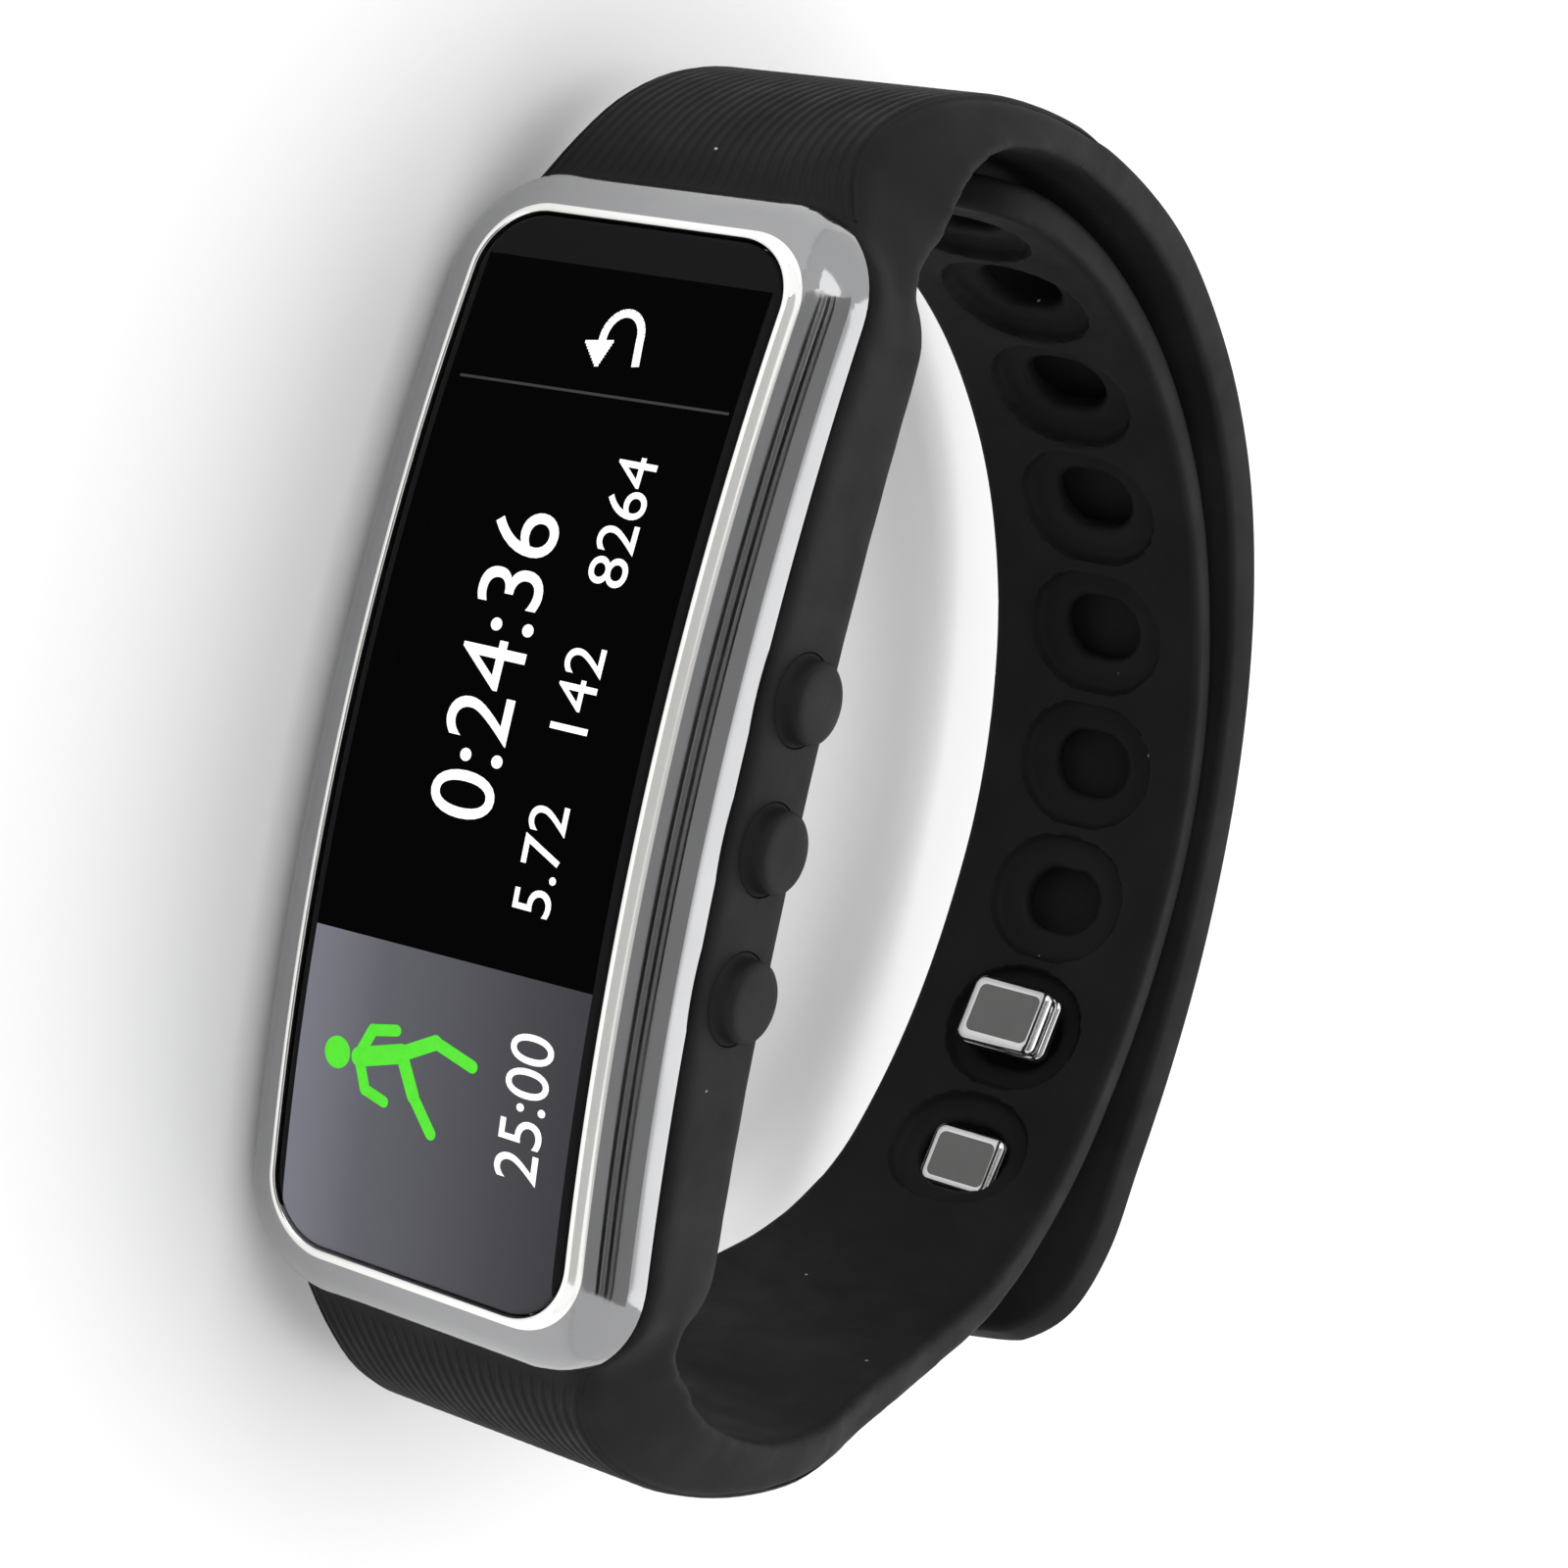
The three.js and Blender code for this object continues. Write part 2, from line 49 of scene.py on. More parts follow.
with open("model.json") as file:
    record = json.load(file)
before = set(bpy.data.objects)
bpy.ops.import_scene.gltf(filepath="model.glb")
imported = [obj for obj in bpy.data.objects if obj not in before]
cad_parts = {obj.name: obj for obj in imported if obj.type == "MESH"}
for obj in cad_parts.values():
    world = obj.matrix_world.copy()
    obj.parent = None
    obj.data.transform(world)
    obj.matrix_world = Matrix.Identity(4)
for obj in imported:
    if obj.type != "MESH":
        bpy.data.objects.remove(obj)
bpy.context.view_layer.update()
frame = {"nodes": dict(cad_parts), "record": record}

# The module's and the straps' own space, in millimetres, and where it lies in the frame.
MODULE_X, MODULE_Z = 1.3, 12.2
ORIGIN = Vector((MODULE_X, -5.06, MODULE_Z))
FRONT_Y = -26.8
BEND_R = 120.0
END_THINNING = 2.6
SLOT_PITCH = 8.55
SLOT_COUNT = 9
LAST_SLOT_X = 19.0
# The picture area's left end and half height, and where its lit panel starts, from the module's middle.
PICTURE_END, PICTURE_HALF, PANEL_START = -23.1, 8.25, 9.9
# Where the strap is cut before its free end, in millimetres, so that the end can curve.
END_CUTS = (0.85, 0.7, 0.55, 0.4, 0.27, 0.16, 0.08, 0.03)
# How far each stud stands beside the middle of its slot, then how proud its head is and the head's scale.
STUD_SHIFT = ((0.3, -0.1, 0.28), (-0.24, 0.08, -0.12))
STUD_HEADS = ((-0.3, 1.0), (1.6, 1.09))
TAIL_FLEX_X = -4.4
TIP_SLOTS = 3.5
CLASP_ROOT = 26.0
HOLED_ROOT = 25.0
BUTTON_X = (-5.6, 1.8, 9.2)

# Strap stations: outer face x, y and half width, then inner face x, y and half width.
CLASP_STATIONS = (
    (-27.5, -20.8, 9.6, -26.3, -17.0, 11.5),
    (-30.0, -20.0, 8.5, -27.9, -15.4, 11.2),
    (-32.5, -17.9, 8.1, -30.2, -13.8, 10.7),
    (-34.7, -14.4, 8.1, -32.3, -11.8, 10.2),
    (-36.2, -10.0, 8.3, -33.9, -8.8, 9.8),
    (-37.0, -4.8, 8.6, -34.8, -4.4, 9.5),
    (-37.0, 0.8, 8.8, -34.85, 0.8, 9.2),
    (-36.2, 7.0, 8.8, -34.1, 6.55, 8.9),
    (-34.6, 13.0, 8.7, -32.5, 12.2, 8.6),
    (-31.8, 18.7, 8.6, -29.9, 17.55, 8.3),
    (-28.2, 23.9, 8.5, -26.5, 22.5, 8.1),
    (-23.6, 28.4, 8.45, -22.2, 26.7, 8.0),
    (-18.2, 31.9, 8.4, -17.2, 29.95, 7.9),
    (-12.4, 34.3, 8.4, -11.75, 32.2, 7.9),
    (-6.2, 35.8, 8.4, -5.8, 33.65, 7.9),
    (0.0, 36.4, 8.4, 0.1, 34.2, 7.9),
    (6.0, 36.3, 8.4, 5.8, 34.1, 7.9),
    (12.0, 35.5, 8.4, 11.5, 33.35, 7.9),
    (17.6, 34.2, 8.4, 17.0, 32.1, 7.9),
    (22.6, 33.1, 8.3, 21.9, 31.0, 7.8),
    (26.6, 32.1, 7.3, 25.9, 30.0, 6.8),
    (28.9, 31.4, 5.2, 28.2, 29.3, 4.7),
    (29.9, 31.1, 2.6, 29.2, 29.0, 2.1),
)
HOLED_STATIONS = (
    (27.5, -20.8, 9.2, 26.3, -17.0, 11.5),
    (30.0, -19.2, 8.3, 27.6, -15.2, 11.3),
    (32.4, -16.0, 8.3, 29.3, -12.8, 10.9),
    (34.0, -11.4, 8.8, 30.7, -9.0, 10.6),
    (34.5, -5.6, 9.4, 31.5, -4.4, 10.3),
    (33.9, 0.8, 9.5, 31.2, 0.8, 9.8),
    (32.0, 6.6, 8.8, 29.7, 5.8, 9.0),
    (30.2, 11.6, 8.4, 28.2, 10.8, 8.5),
    (28.6, 16.0, 8.0, 26.7, 15.2, 8.0),
    (26.8, 20.2, 7.7, 25.1, 19.2, 7.7),
    (24.4, 23.8, 7.4, 23.0, 22.4, 7.4),
    (21.4, 26.8, 7.2, 20.3, 25.2, 7.2),
    (17.9, 29.1, 7.15, 17.1, 27.3, 7.15),
    (14.0, 30.9, 7.1, 13.4, 29.05, 7.1),
    (9.7, 32.3, 7.1, 9.3, 30.45, 7.1),
    (5.0, 33.3, 7.1, 4.8, 31.4, 7.1),
    (-0.6, 33.8, 7.1, -0.6, 31.9, 7.1),
    (-6.2, 33.3, 7.1, -5.8, 31.45, 7.1),
    (-11.6, 31.8, 7.05, -10.9, 30.05, 7.05),
    (-16.8, 29.3, 7.0, -15.8, 27.7, 7.0),
    (-21.6, 25.9, 6.95, -20.3, 24.55, 6.95),
    (-25.6, 21.8, 6.9, -24.0, 20.8, 6.9),
    (-28.9, 17.1, 6.85, -27.2, 16.3, 6.85),
    (-31.3, 12.1, 6.8, -29.5, 11.5, 6.8),
    (-32.9, 6.9, 6.8, -31.05, 6.6, 6.8),
    (-33.7, 1.6, 6.7, -31.8, 1.5, 6.7),
    (-33.8, -2.2, 5.8, -31.9, -2.1, 5.8),
    (-33.6, -4.6, 3.2, -31.8, -4.5, 3.2),
)


# One more station each, inside the module, so that the roots grow out of the sleeve's side walls.
CLASP_SHOULDER = (-24.0, -21.6, 12.0, -23.2, -18.2, 12.15)
HOLED_SHOULDER = (24.0, -21.6, 12.0, 23.2, -18.2, 12.15)


class BandSizes(bpy.types.PropertyGroup):
    """Sizes of the band's moulded detail."""

    rib_count: IntProperty(name="Ribs", description="Fine ribs across each root", default=26, min=4)
    rib_height: FloatProperty(
        name="Rib Height",
        description="How far a rib stands up",
        default=0.00021,
        unit="LENGTH",
        subtype="DISTANCE",
    )
    voxel: FloatProperty(
        name="Moulding Grain", description="Voxel size of the melted rubber", default=0.00026, unit="LENGTH"
    )
    pocket_depth: FloatProperty(
        name="Pocket Depth",
        description="How deep the pocket round each slot is",
        default=0.0008,
        unit="LENGTH",
    )
    stud_corner: FloatProperty(
        name="Stud Corner", description="Corner radius of a clasp stud's head", default=0.0007, unit="LENGTH"
    )


class BandLooks(bpy.types.PropertyGroup):
    """Colours and finishes."""

    rubber: FloatVectorProperty(
        name="Rubber", description="Band colour", default=(0.0112, 0.0104, 0.0108), subtype="COLOR", size=3
    )
    chrome: FloatVectorProperty(
        name="Chrome",
        description="Bezel and clasp colour",
        default=(0.33, 0.332, 0.338),
        subtype="COLOR",
        size=3,
    )
    screen_text: FloatVectorProperty(
        name="Screen Text",
        description="Colour of the digits",
        default=(1.0, 1.0, 1.0),
        subtype="COLOR",
        size=3,
    )
    runner: FloatVectorProperty(
        name="Runner",
        description="Colour of the runner sign",
        default=(0.09, 0.75, 0.03),
        subtype="COLOR",
        size=3,
    )
    timer: StringProperty(name="Timer", description="Digits on the screen's large line", default="0:24:36")
    counters: StringProperty(
        name="Counters", description="Digits on the screen's small line", default="5.72   142   8264"
    )
    lap: StringProperty(name="Lap", description="Digits beside the runner sign", default="25:00")


class StageLooks(bpy.types.PropertyGroup):
    """Floor, lights and camera."""

    floor: FloatVectorProperty(
        name="Floor", description="Floor colour", default=(0.86, 0.86, 0.86), subtype="COLOR", size=3
    )
    lens: FloatProperty(name="Lens", description="Focal length", default=78.75, unit="CAMERA", min=1)
    key: FloatProperty(
        name="Key Light", description="Strength of the large soft light", default=2.4, unit="POWER"
    )


# Cards that the chrome mirrors: lower and upper height in degrees, and how light each is.
CARDS = (
    (8, 27.5, 0.42),
    (27.8, 35, 0.003),
    (35.6, 43, 0.2),
    (43.5, 51, 0.003),
    (51.5, 55.5, 0.2),
    (55.8, 60, 0.003),
    (60.3, 87, 0.42),
)
CARD_DISTANCE, CARD_HALF_LENGTH = 0.26, 0.22

FINISHES = {}


# ---------- shader building ----------
class Link:
    """A shader socket that adds Math nodes when numbers are worked out with it."""

    def __init__(self, book, socket):
        self.book, self.socket = book, socket

    def _maths(self, operation, *values):
        return self.book.node("ShaderNodeMath", {"operation": operation}, dict(enumerate(values)))

    def __add__(self, other):
        return self._maths("ADD", self, other)

    def __sub__(self, other):
        return self._maths("SUBTRACT", self, other)

    def __rsub__(self, other):
        return self._maths("SUBTRACT", other, self)

    def __mul__(self, other):
        return self._maths("MULTIPLY", self, other)

    def __gt__(self, other):
        return self._maths("GREATER_THAN", self, other)

    def __lt__(self, other):
        return self._maths("LESS_THAN", self, other)

    __radd__, __rmul__ = __add__, __mul__

    def absolute(self):
        return self._maths("ABSOLUTE", self)

    def at_least(self, value):
        return self._maths("MAXIMUM", self, value)

    def part(self, name):
        """Another output of the same node."""
        return Link(self.book, self.socket.node.outputs[name])


class Finish:
    """One material and the nodes that make it."""

    def __init__(self, name, **constants):
        self.material = bpy.data.materials.new(name + "_finish")
        self.material.use_nodes = True
        self.tree = self.material.node_tree
        self.shader = self.tree.nodes["Principled BSDF"]
        for socket, value in constants.items():
            self.shader.inputs[socket.replace("_", " ")].default_value = value

    def node(self, kind, settings, values, output=0):
        made = self.tree.nodes.new(kind)
        for key, value in settings.items():
            if key == "stops":
                self._stops(made.color_ramp, value)
            else:
                setattr(made, key, value)
        for key, value in values.items():
            self._fill(made.inputs[key], value)
        return Link(self, made.outputs[output])

    def _fill(self, socket, value):
        if isinstance(value, Link):
            self.tree.links.new(value.socket, socket)
        else:
            socket.default_value = value

    @staticmethod
    def _stops(ramp, stops):
        while len(ramp.elements) < len(stops):
            ramp.elements.new(0.5)
        for element, (place, value) in zip(ramp.elements, stops):
            element.position = place
            element.color = (value, value, value, 1.0)

    def place(self):
        return self.node("ShaderNodeTexCoord", {}, {}, "Object")

    def noise(self, scale, detail=2.0, vector=None):
        return self.node(
            "ShaderNodeTexNoise", {}, {"Vector": vector or self.place(), "Scale": scale, "Detail": detail}, 0
        )

    def ramp(self, value, *stops):
        return self.node("ShaderNodeValToRGB", {"stops": stops}, {0: value})

    def mix(self, factor, first, second):
        return self.node("ShaderNodeMix", {"data_type": "RGBA"}, {0: factor, 6: first, 7: second}, 2)

    def bump(self, height, strength, distance):
        values = {"Height": height, "Strength": strength, "Distance": distance}
        return self.node("ShaderNodeBump", {}, values, "Normal")

    def feed(self, **links):
        for socket, value in links.items():
            self._fill(self.shader.inputs[socket.replace("_", " ")], value)
        return self.material


def colour(values, scale=1.0):
    return (*[min(1.0, c * scale) for c in values], 1.0)


def rubber_finish(name, base, gloss=0.56):
    """Soft moulded rubber: fine satin grain, faint cloudiness and a few specks of dust."""
    book = Finish(name, Specular_IOR_Level=0.06)
    cloud = book.ramp(book.noise(160.0, 3.0), (0.35, 0.0), (0.7, 1.0))
    cells = book.node("ShaderNodeTexVoronoi", {}, {"Vector": book.place(), "Scale": 900.0})
    pick = book.node("ShaderNodeSeparateColor", {}, {0: cells.part("Color")}, "Red")
    speck = (cells < 0.085) * (pick > 0.955)
    plain = book.mix(cloud, colour(base), colour(base, 1.35))
    tinted = book.mix(speck, plain, (0.33, 0.32, 0.33, 1.0))
    grain = book.noise(7000.0, 2.0)
    rough = book.ramp(book.noise(420.0, 4.0), (0.3, gloss - 0.07), (0.7, gloss + 0.07))
    normal = book.bump(grain, 0.22, 0.00006)
    return book.feed(Base_Color=tinted, Roughness=rough, Normal=normal)


def lip_reflection_mask(book):
    """One within a rounded frame close round the glass, wider along its near side, and nothing elsewhere:
    the band where a white reflection is painted on the bezel.
    """
    axes = book.node("ShaderNodeSeparateXYZ", {}, {0: book.place()}, "X")
    radius, half_x, half_z = 0.0036, 0.02588, 0.00945
    out_x = (axes - ORIGIN[0] / 1000).absolute() - (half_x - radius)
    out_z = (axes.part("Z") - (ORIGIN[2] + 0.35) / 1000).absolute() - (half_z - radius)
    out_x, out_z = out_x.at_least(0.0), out_z.at_least(0.0)
    return (out_x * out_x + out_z * out_z < radius * radius) * (axes.part("Y") < -0.02)


def chrome_finish(name, base, gloss=0.07):
    """Mirror plating with a slight waviness, hairline handling marks and a painted white reflection on the
    inner lip round the glass.
    """
    book = Finish(name, Metallic=1.0)
    waves = book.noise(110.0, 1.0)
    stretched = book.node(
        "ShaderNodeMapping", {}, {"Vector": book.place(), "Scale": (60.0, 900.0, 2600.0)}, 0
    )
    hair = book.noise(1.0, 3.0, stretched)
    rough = book.ramp(hair, (0.35, gloss), (0.75, gloss + 0.07))
    tone = book.mix(book.ramp(book.noise(300.0), (0.3, 0.0), (0.8, 1.0)), colour(base), colour(base, 0.93))
    normal = book.bump(waves, 0.09, 0.0004)
    # Painted reflection: the chrome's colour turns near-white in a band round the glass, widest along its
    # near side.
    tone = book.mix(lip_reflection_mask(book), tone, (0.93, 0.925, 0.9, 1.0))
    return book.feed(Base_Color=tone, Roughness=rough, Normal=normal)


def moulded_finish(name, base, gloss=0.45, grain=5200.0, metal=0.0):
    """Hard moulded plastic or a machined part, with a fine grain."""
    book = Finish(name, Metallic=metal)
    cloud = book.ramp(book.noise(240.0, 3.0), (0.3, 0.0), (0.75, 1.0))
    tone = book.mix(cloud, colour(base), colour(base, 1.3))
    rough = book.ramp(book.noise(700.0, 3.0), (0.3, gloss - 0.08), (0.7, gloss + 0.1))
    normal = book.bump(book.noise(grain, 2.0), 0.25, 0.00005)
    return book.feed(Base_Color=tone, Roughness=rough, Normal=normal)


def board_finish(name):
    """Green board with copper tracks under the lacquer."""
    book = Finish(name)
    tracks = book.node(
        "ShaderNodeTexBrick",
        {"offset": 0.35},
        {"Vector": book.place(), "Scale": 420.0, "Mortar Size": 0.06, "Brick Width": 1.4, "Row Height": 0.4},
        1,
    )
    tone = book.mix(tracks, (0.008, 0.07, 0.03, 1.0), (0.02, 0.15, 0.06, 1.0))
    rough = book.ramp(book.noise(600.0), (0.3, 0.3), (0.7, 0.5))
    return book.feed(Base_Color=tone, Roughness=rough, Normal=book.bump(tracks, 0.3, 0.00005))


def glass_finish(name):
    """Black cover glass: a grey border that is a painted reflection, the dark picture area and the lit panel
    at its lower end, with a painted bluish sheen fading across the panel.
    """
    book = Finish(name, Specular_IOR_Level=0.012)
    axes = book.node("ShaderNodeSeparateXYZ", {}, {0: book.place()}, "X")
    x, z = axes, axes.part("Z")
    start = (MODULE_X + PICTURE_END) / 1000
    bottom, top = (MODULE_Z - PICTURE_HALF) / 1000, (MODULE_Z + PICTURE_HALF) / 1000
    picture = (x > start) * (z > bottom) * (z < top)
    panel = picture * ((x + (z - MODULE_Z / 1000) * 0.02) > (MODULE_X + PANEL_START) / 1000)
    # Painted sheen: the panel, which is part of the screen picture, is lighter and bluer at the picture's
    # lower edge and fades across it.
    sheen = book.ramp((z - bottom) * 62.0, (0.0, 0.36), (0.28, 0.2), (0.8, 0.095), (1.0, 0.07))
    sheened_panel = book.mix(sheen, (0.012, 0.011, 0.010, 1.0), (0.55, 0.56, 0.66, 1.0))
    # Painted reflection: the glass outside the picture area is coloured grey; the picture area is near
    # black.
    tone = book.mix(picture, (0.009, 0.009, 0.0095, 1.0), (0.0006, 0.0006, 0.0007, 1.0))
    lit = book.mix(panel, tone, sheened_panel)
    rough = book.ramp(book.noise(90.0, 2.0), (0.3, 0.04), (0.8, 0.075))
    return book.feed(Base_Color=lit, Roughness=rough)


def screen_finish(name, base, glow):
    """A lit sign on the screen, with a gloss of its own."""
    book = Finish(name, Emission_Strength=glow, Specular_IOR_Level=0.16)
    grid = book.noise(2600.0, 1.0)
    tone = book.mix(book.ramp(grid, (0.4, 0.0), (0.6, 1.0)), colour(base), colour(base, 0.94))
    return book.feed(Base_Color=colour(base, 0.25), Emission_Color=tone, Roughness=0.3)


# ---------- spaces ----------
def to_frame(points):
    """Millimetres of the band's own space to metres of the frame."""
    return (np.asarray(points, float) + np.array(ORIGIN)) / 1000.0


def module_space(co):
    """u along the display, z across it and n into the module, to the band's own space."""
    u, z, n = co[:, 0], co[:, 1], co[:, 2]
    angle = u / BEND_R
    r = BEND_R - n * (1 - END_THINNING * angle * angle)
    return np.column_stack((r * np.sin(angle), FRONT_Y + BEND_R - r * np.cos(angle), z))


class StrapPath:
    """A strap's two faces, tabled by the length along its mid-line."""

    def __init__(self, stations, steps=1200):
        self.stations = stations
        rows = np.array(stations, float)
        rows = np.vstack((2 * rows[0] - rows[1], rows, 2 * rows[-1] - rows[-2]))
        t = np.linspace(0, len(stations) - 1, steps + 1)
        i = np.minimum(t.astype(int), len(stations) - 2)
        w = (t - i)[:, None]
        a, b, c, d = rows[i], rows[i + 1], rows[i + 2], rows[i + 3]
        m0, m1 = (c - a) / 2, (d - b) / 2
        self.rows = b + m0 * w + (3 * (c - b) - 2 * m0 - m1) * w**2 + (2 * (b - c) + m0 + m1) * w**3
        self.mid = (self.rows[:, 0:2] + self.rows[:, 3:5]) / 2
        self.s = np.concatenate(([0], np.cumsum(np.linalg.norm(np.diff(self.mid, axis=0), axis=1))))
        self.thick = np.linalg.norm(self.rows[:, 0:2] - self.rows[:, 3:5], axis=1)
        self.end = self.s[-1]

    def at(self, s):
        return np.column_stack([np.interp(s, self.s, self.rows[:, k]) for k in range(6)])

    def length_at_x(self, x):
        for k in range(1, len(self.s)):
            if self.mid[k, 1] > 0 and (self.mid[k, 0] - x) * (self.mid[k - 1, 0] - x) <= 0:
                return self.s[k]
        raise ValueError("the strap never crosses that x")

    def true_size(self, co):
        """Block coordinates (s, -1..1, 0..1) to flat millimetres (s, across, up from the inner face)."""
        row = self.at(co[:, 0])
        half = row[:, 5] + (row[:, 2] - row[:, 5]) * co[:, 2]
        thick = np.interp(co[:, 0], self.s, self.thick)
        return np.column_stack((co[:, 0], co[:, 1] * half, co[:, 2] * thick))

    def wrap(self, co):
        """Flat millimetres (s, across, up from the inner face) to the band's own space."""
        row = self.at(co[:, 0])
        f = (co[:, 2] / np.interp(co[:, 0], self.s, self.thick))[:, None]
        xy = row[:, 3:5] + (row[:, 0:2] - row[:, 3:5]) * f
        return np.column_stack((xy, co[:, 1]))


clasp_path = StrapPath(CLASP_STATIONS)
holed_path = StrapPath(HOLED_STATIONS)
TAIL_FLEX = clasp_path.length_at_x(TAIL_FLEX_X)
FIRST_SLOT = holed_path.length_at_x(LAST_SLOT_X)
TIP_FLEX = FIRST_SLOT + (SLOT_COUNT - TIP_SLOTS) * SLOT_PITCH


def stud_direction():
    """The way both studs point, in the plane of the loop."""
    hinge = clasp_path.at([TAIL_FLEX])[0, 0:2]
    row = holed_path.at([FIRST_SLOT + SLOT_PITCH / 2])[0]
    chord = (row[0:2] + row[3:5]) / 2 - hinge
    return Vector((chord[1], -chord[0], 0)).normalized()


# ---------- modelling ----------
def everything(bm):
    return bm.verts[:] + bm.edges[:] + bm.faces[:]


def block(bm, size, centre, corner=0.0, corner_steps=8, edge=0.0, edge_steps=3):
    """Adds a rounded block: corner rounds its upright edges, edge rounds its top and bottom rims."""
    made = bmesh.ops.create_cube(bm, size=1.0)["verts"]
    bmesh.ops.scale(bm, vec=size, verts=made)
    bmesh.ops.translate(bm, vec=centre, verts=made)
    fresh = set(made)
    if corner:
        upright = [e for e in bm.edges if e.verts[0] in fresh and rise(e) > size[2] * 0.5]
        done = round_off(bm, upright, corner, corner_steps)
        fresh = {v for v in fresh if v.is_valid} | set(done)
    if edge:
        rims = [e for e in bm.edges if e.verts[0] in fresh and e.verts[1] in fresh and is_rim(e)]
        round_off(bm, rims, edge, edge_steps)


def rise(edge):
    return abs(edge.verts[0].co.z - edge.verts[1].co.z)


def is_rim(edge):
    normals = [abs(f.normal.z) for f in edge.link_faces]
    return len(normals) == 2 and max(normals) > 0.9 > 0.1 > min(normals)


def round_off(bm, edges, radius, steps):
    bm.normal_update()
    result = bmesh.ops.bevel(
        bm,
        geom=edges,
        offset=radius,
        offset_type="OFFSET",
        segments=steps,
        profile=0.5,
        affect="EDGES",
        material=-1,
    )
    bm.normal_update()
    return result["verts"]


def outline(bm, half_length, half_width, radius, depth, steps):
    """Adds a rounded rectangle as one flat face and returns the face."""
    before = set(bm.faces)
    verts = bmesh.ops.create_grid(bm, x_segments=1, y_segments=1, size=1.0)["verts"]
    bmesh.ops.scale(bm, vec=(half_length, half_width, 1), verts=verts)
    bmesh.ops.translate(bm, vec=(0, 0, depth), verts=verts)
    bmesh.ops.bevel(
        bm,
        geom=verts,
        offset=radius,
        offset_type="OFFSET",
        segments=steps,
        profile=0.5,
        affect="VERTICES",
        material=-1,
    )
    return next(f for f in bm.faces if f not in before)


def skin(bm, rings, ring_closed=False, steps=18):
    """Bridges rounded rectangles (half length, half width, radius, depth) one after the other."""
    loops = []
    for i, ring in enumerate(rings):
        face = outline(bm, *ring, steps)
        loops.append(list(face.edges))
        if ring_closed or 0 < i < len(rings) - 1:
            bmesh.ops.delete(bm, geom=[face], context="FACES_ONLY")
    pairs = list(zip(loops, loops[1:]))
    if ring_closed:
        pairs.append((loops[-1], loops[0]))
    for a, b in pairs:
        bmesh.ops.bridge_loops(bm, edges=a + b)


def slice_up(bm, axis, step):
    """Cuts the mesh across an axis at every step, so that it can bend."""
    low = min(v.co[axis] for v in bm.verts)
    high = max(v.co[axis] for v in bm.verts)
    count = max(1, round((high - low) / step))
    for k in range(1, count):
        cut_at(bm, axis, low + (high - low) * k / count)


def remap(bm, function):
    """Moves every vertex by a function of all their places."""
    co = np.array([v.co for v in bm.verts], float)
    for vert, place in zip(bm.verts, function(co)):
        vert.co = place


def finished(bm, name, material, body, replaced=(), smooth_angle=35.0):
    """Turns a bmesh in the band's own millimetres into a piece of the frame."""
    remap(bm, to_frame)
    bmesh.ops.remove_doubles(bm, verts=bm.verts[:], dist=1e-7)
    bmesh.ops.recalc_face_normals(bm, faces=bm.faces[:])
    mesh = bpy.data.meshes.new(name)
    bm.to_mesh(mesh)
    bm.free()
    return placed(mesh, name, material, body, replaced, smooth_angle)


def placed(mesh, name, material, body, replaced=(), smooth_angle=35.0):
    mesh.materials.clear()
    mesh.materials.append(material)
    piece = bpy.data.objects.new(name, mesh)
    bpy.context.scene.collection.objects.link(piece)
    shade(mesh, smooth_angle)
    if isinstance(body, str):
        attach(piece, body)
    else:
        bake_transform(piece)
    if replaced:
        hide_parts(*replaced)
    return piece


def shade(mesh, angle):
    """Smooth faces, with the edges sharper than the angle kept crisp."""
    bm = bmesh.new()
    bm.from_mesh(mesh)
    for face in bm.faces:
        face.smooth = True
    for edge in bm.edges:
        edge.smooth = len(edge.link_faces) == 2 and edge.calc_face_angle(0) < math.radians(angle)
    bm.to_mesh(mesh)
    bm.free()


def temporary(bm, name):
    mesh = bpy.data.meshes.new(name)
    bm.to_mesh(mesh)
    bm.free()
    thing = bpy.data.objects.new(name, mesh)
    bpy.context.scene.collection.objects.link(thing)
    return thing


def applied(thing):
    """The mesh with its modifiers applied; the temporary object is removed."""
    bpy.context.view_layer.update()
    shown = thing.evaluated_get(bpy.context.evaluated_depsgraph_get())
    mesh = bpy.data.meshes.new_from_object(shown)
    bpy.data.objects.remove(thing)
    bm = bmesh.new()
    bm.from_mesh(mesh)
    bpy.data.meshes.remove(mesh)
    return bm


def melted(bm, voxel, smoothing):
    """One skin round everything in the bmesh, with its edges eased."""
    thing = temporary(bm, "melt")
    remesh = thing.modifiers.new("melt", "REMESH")
    remesh.mode = "VOXEL"
    remesh.voxel_size = voxel
    remesh.adaptivity = 0.0
    smooth = thing.modifiers.new("ease", "SMOOTH")
    smooth.factor = 0.5
    smooth.iterations = smoothing
    return applied(thing)


def carved(bm, cutter):
    """Takes the cutter's solids out of the mesh."""
    body, tool = temporary(bm, "body"), temporary(cutter, "tool")
    difference = body.modifiers.new("carve", "BOOLEAN")
    difference.operation = "DIFFERENCE"
    difference.solver = "EXACT"
    difference.object = tool
    result = applied(body)
    bpy.data.objects.remove(tool)
    return result


def cut_at(bm, axis, place):
    normal, point = Vector((0, 0, 0)), Vector((0, 0, 0))
    normal[axis], point[axis] = 1, place
    bmesh.ops.bisect_plane(bm, geom=everything(bm), dist=1e-5, plane_co=point, plane_no=normal)


def end_curve(s, stop):
    """How much of its half width the strap keeps near its free end."""
    t = np.clip((stop - s) / END_CUTS[0], 0, 1)
    return np.sqrt(1 - 0.88 * (1 - t) ** 2)


def narrowed(co, part):
    co[:, 1] *= part
    return co


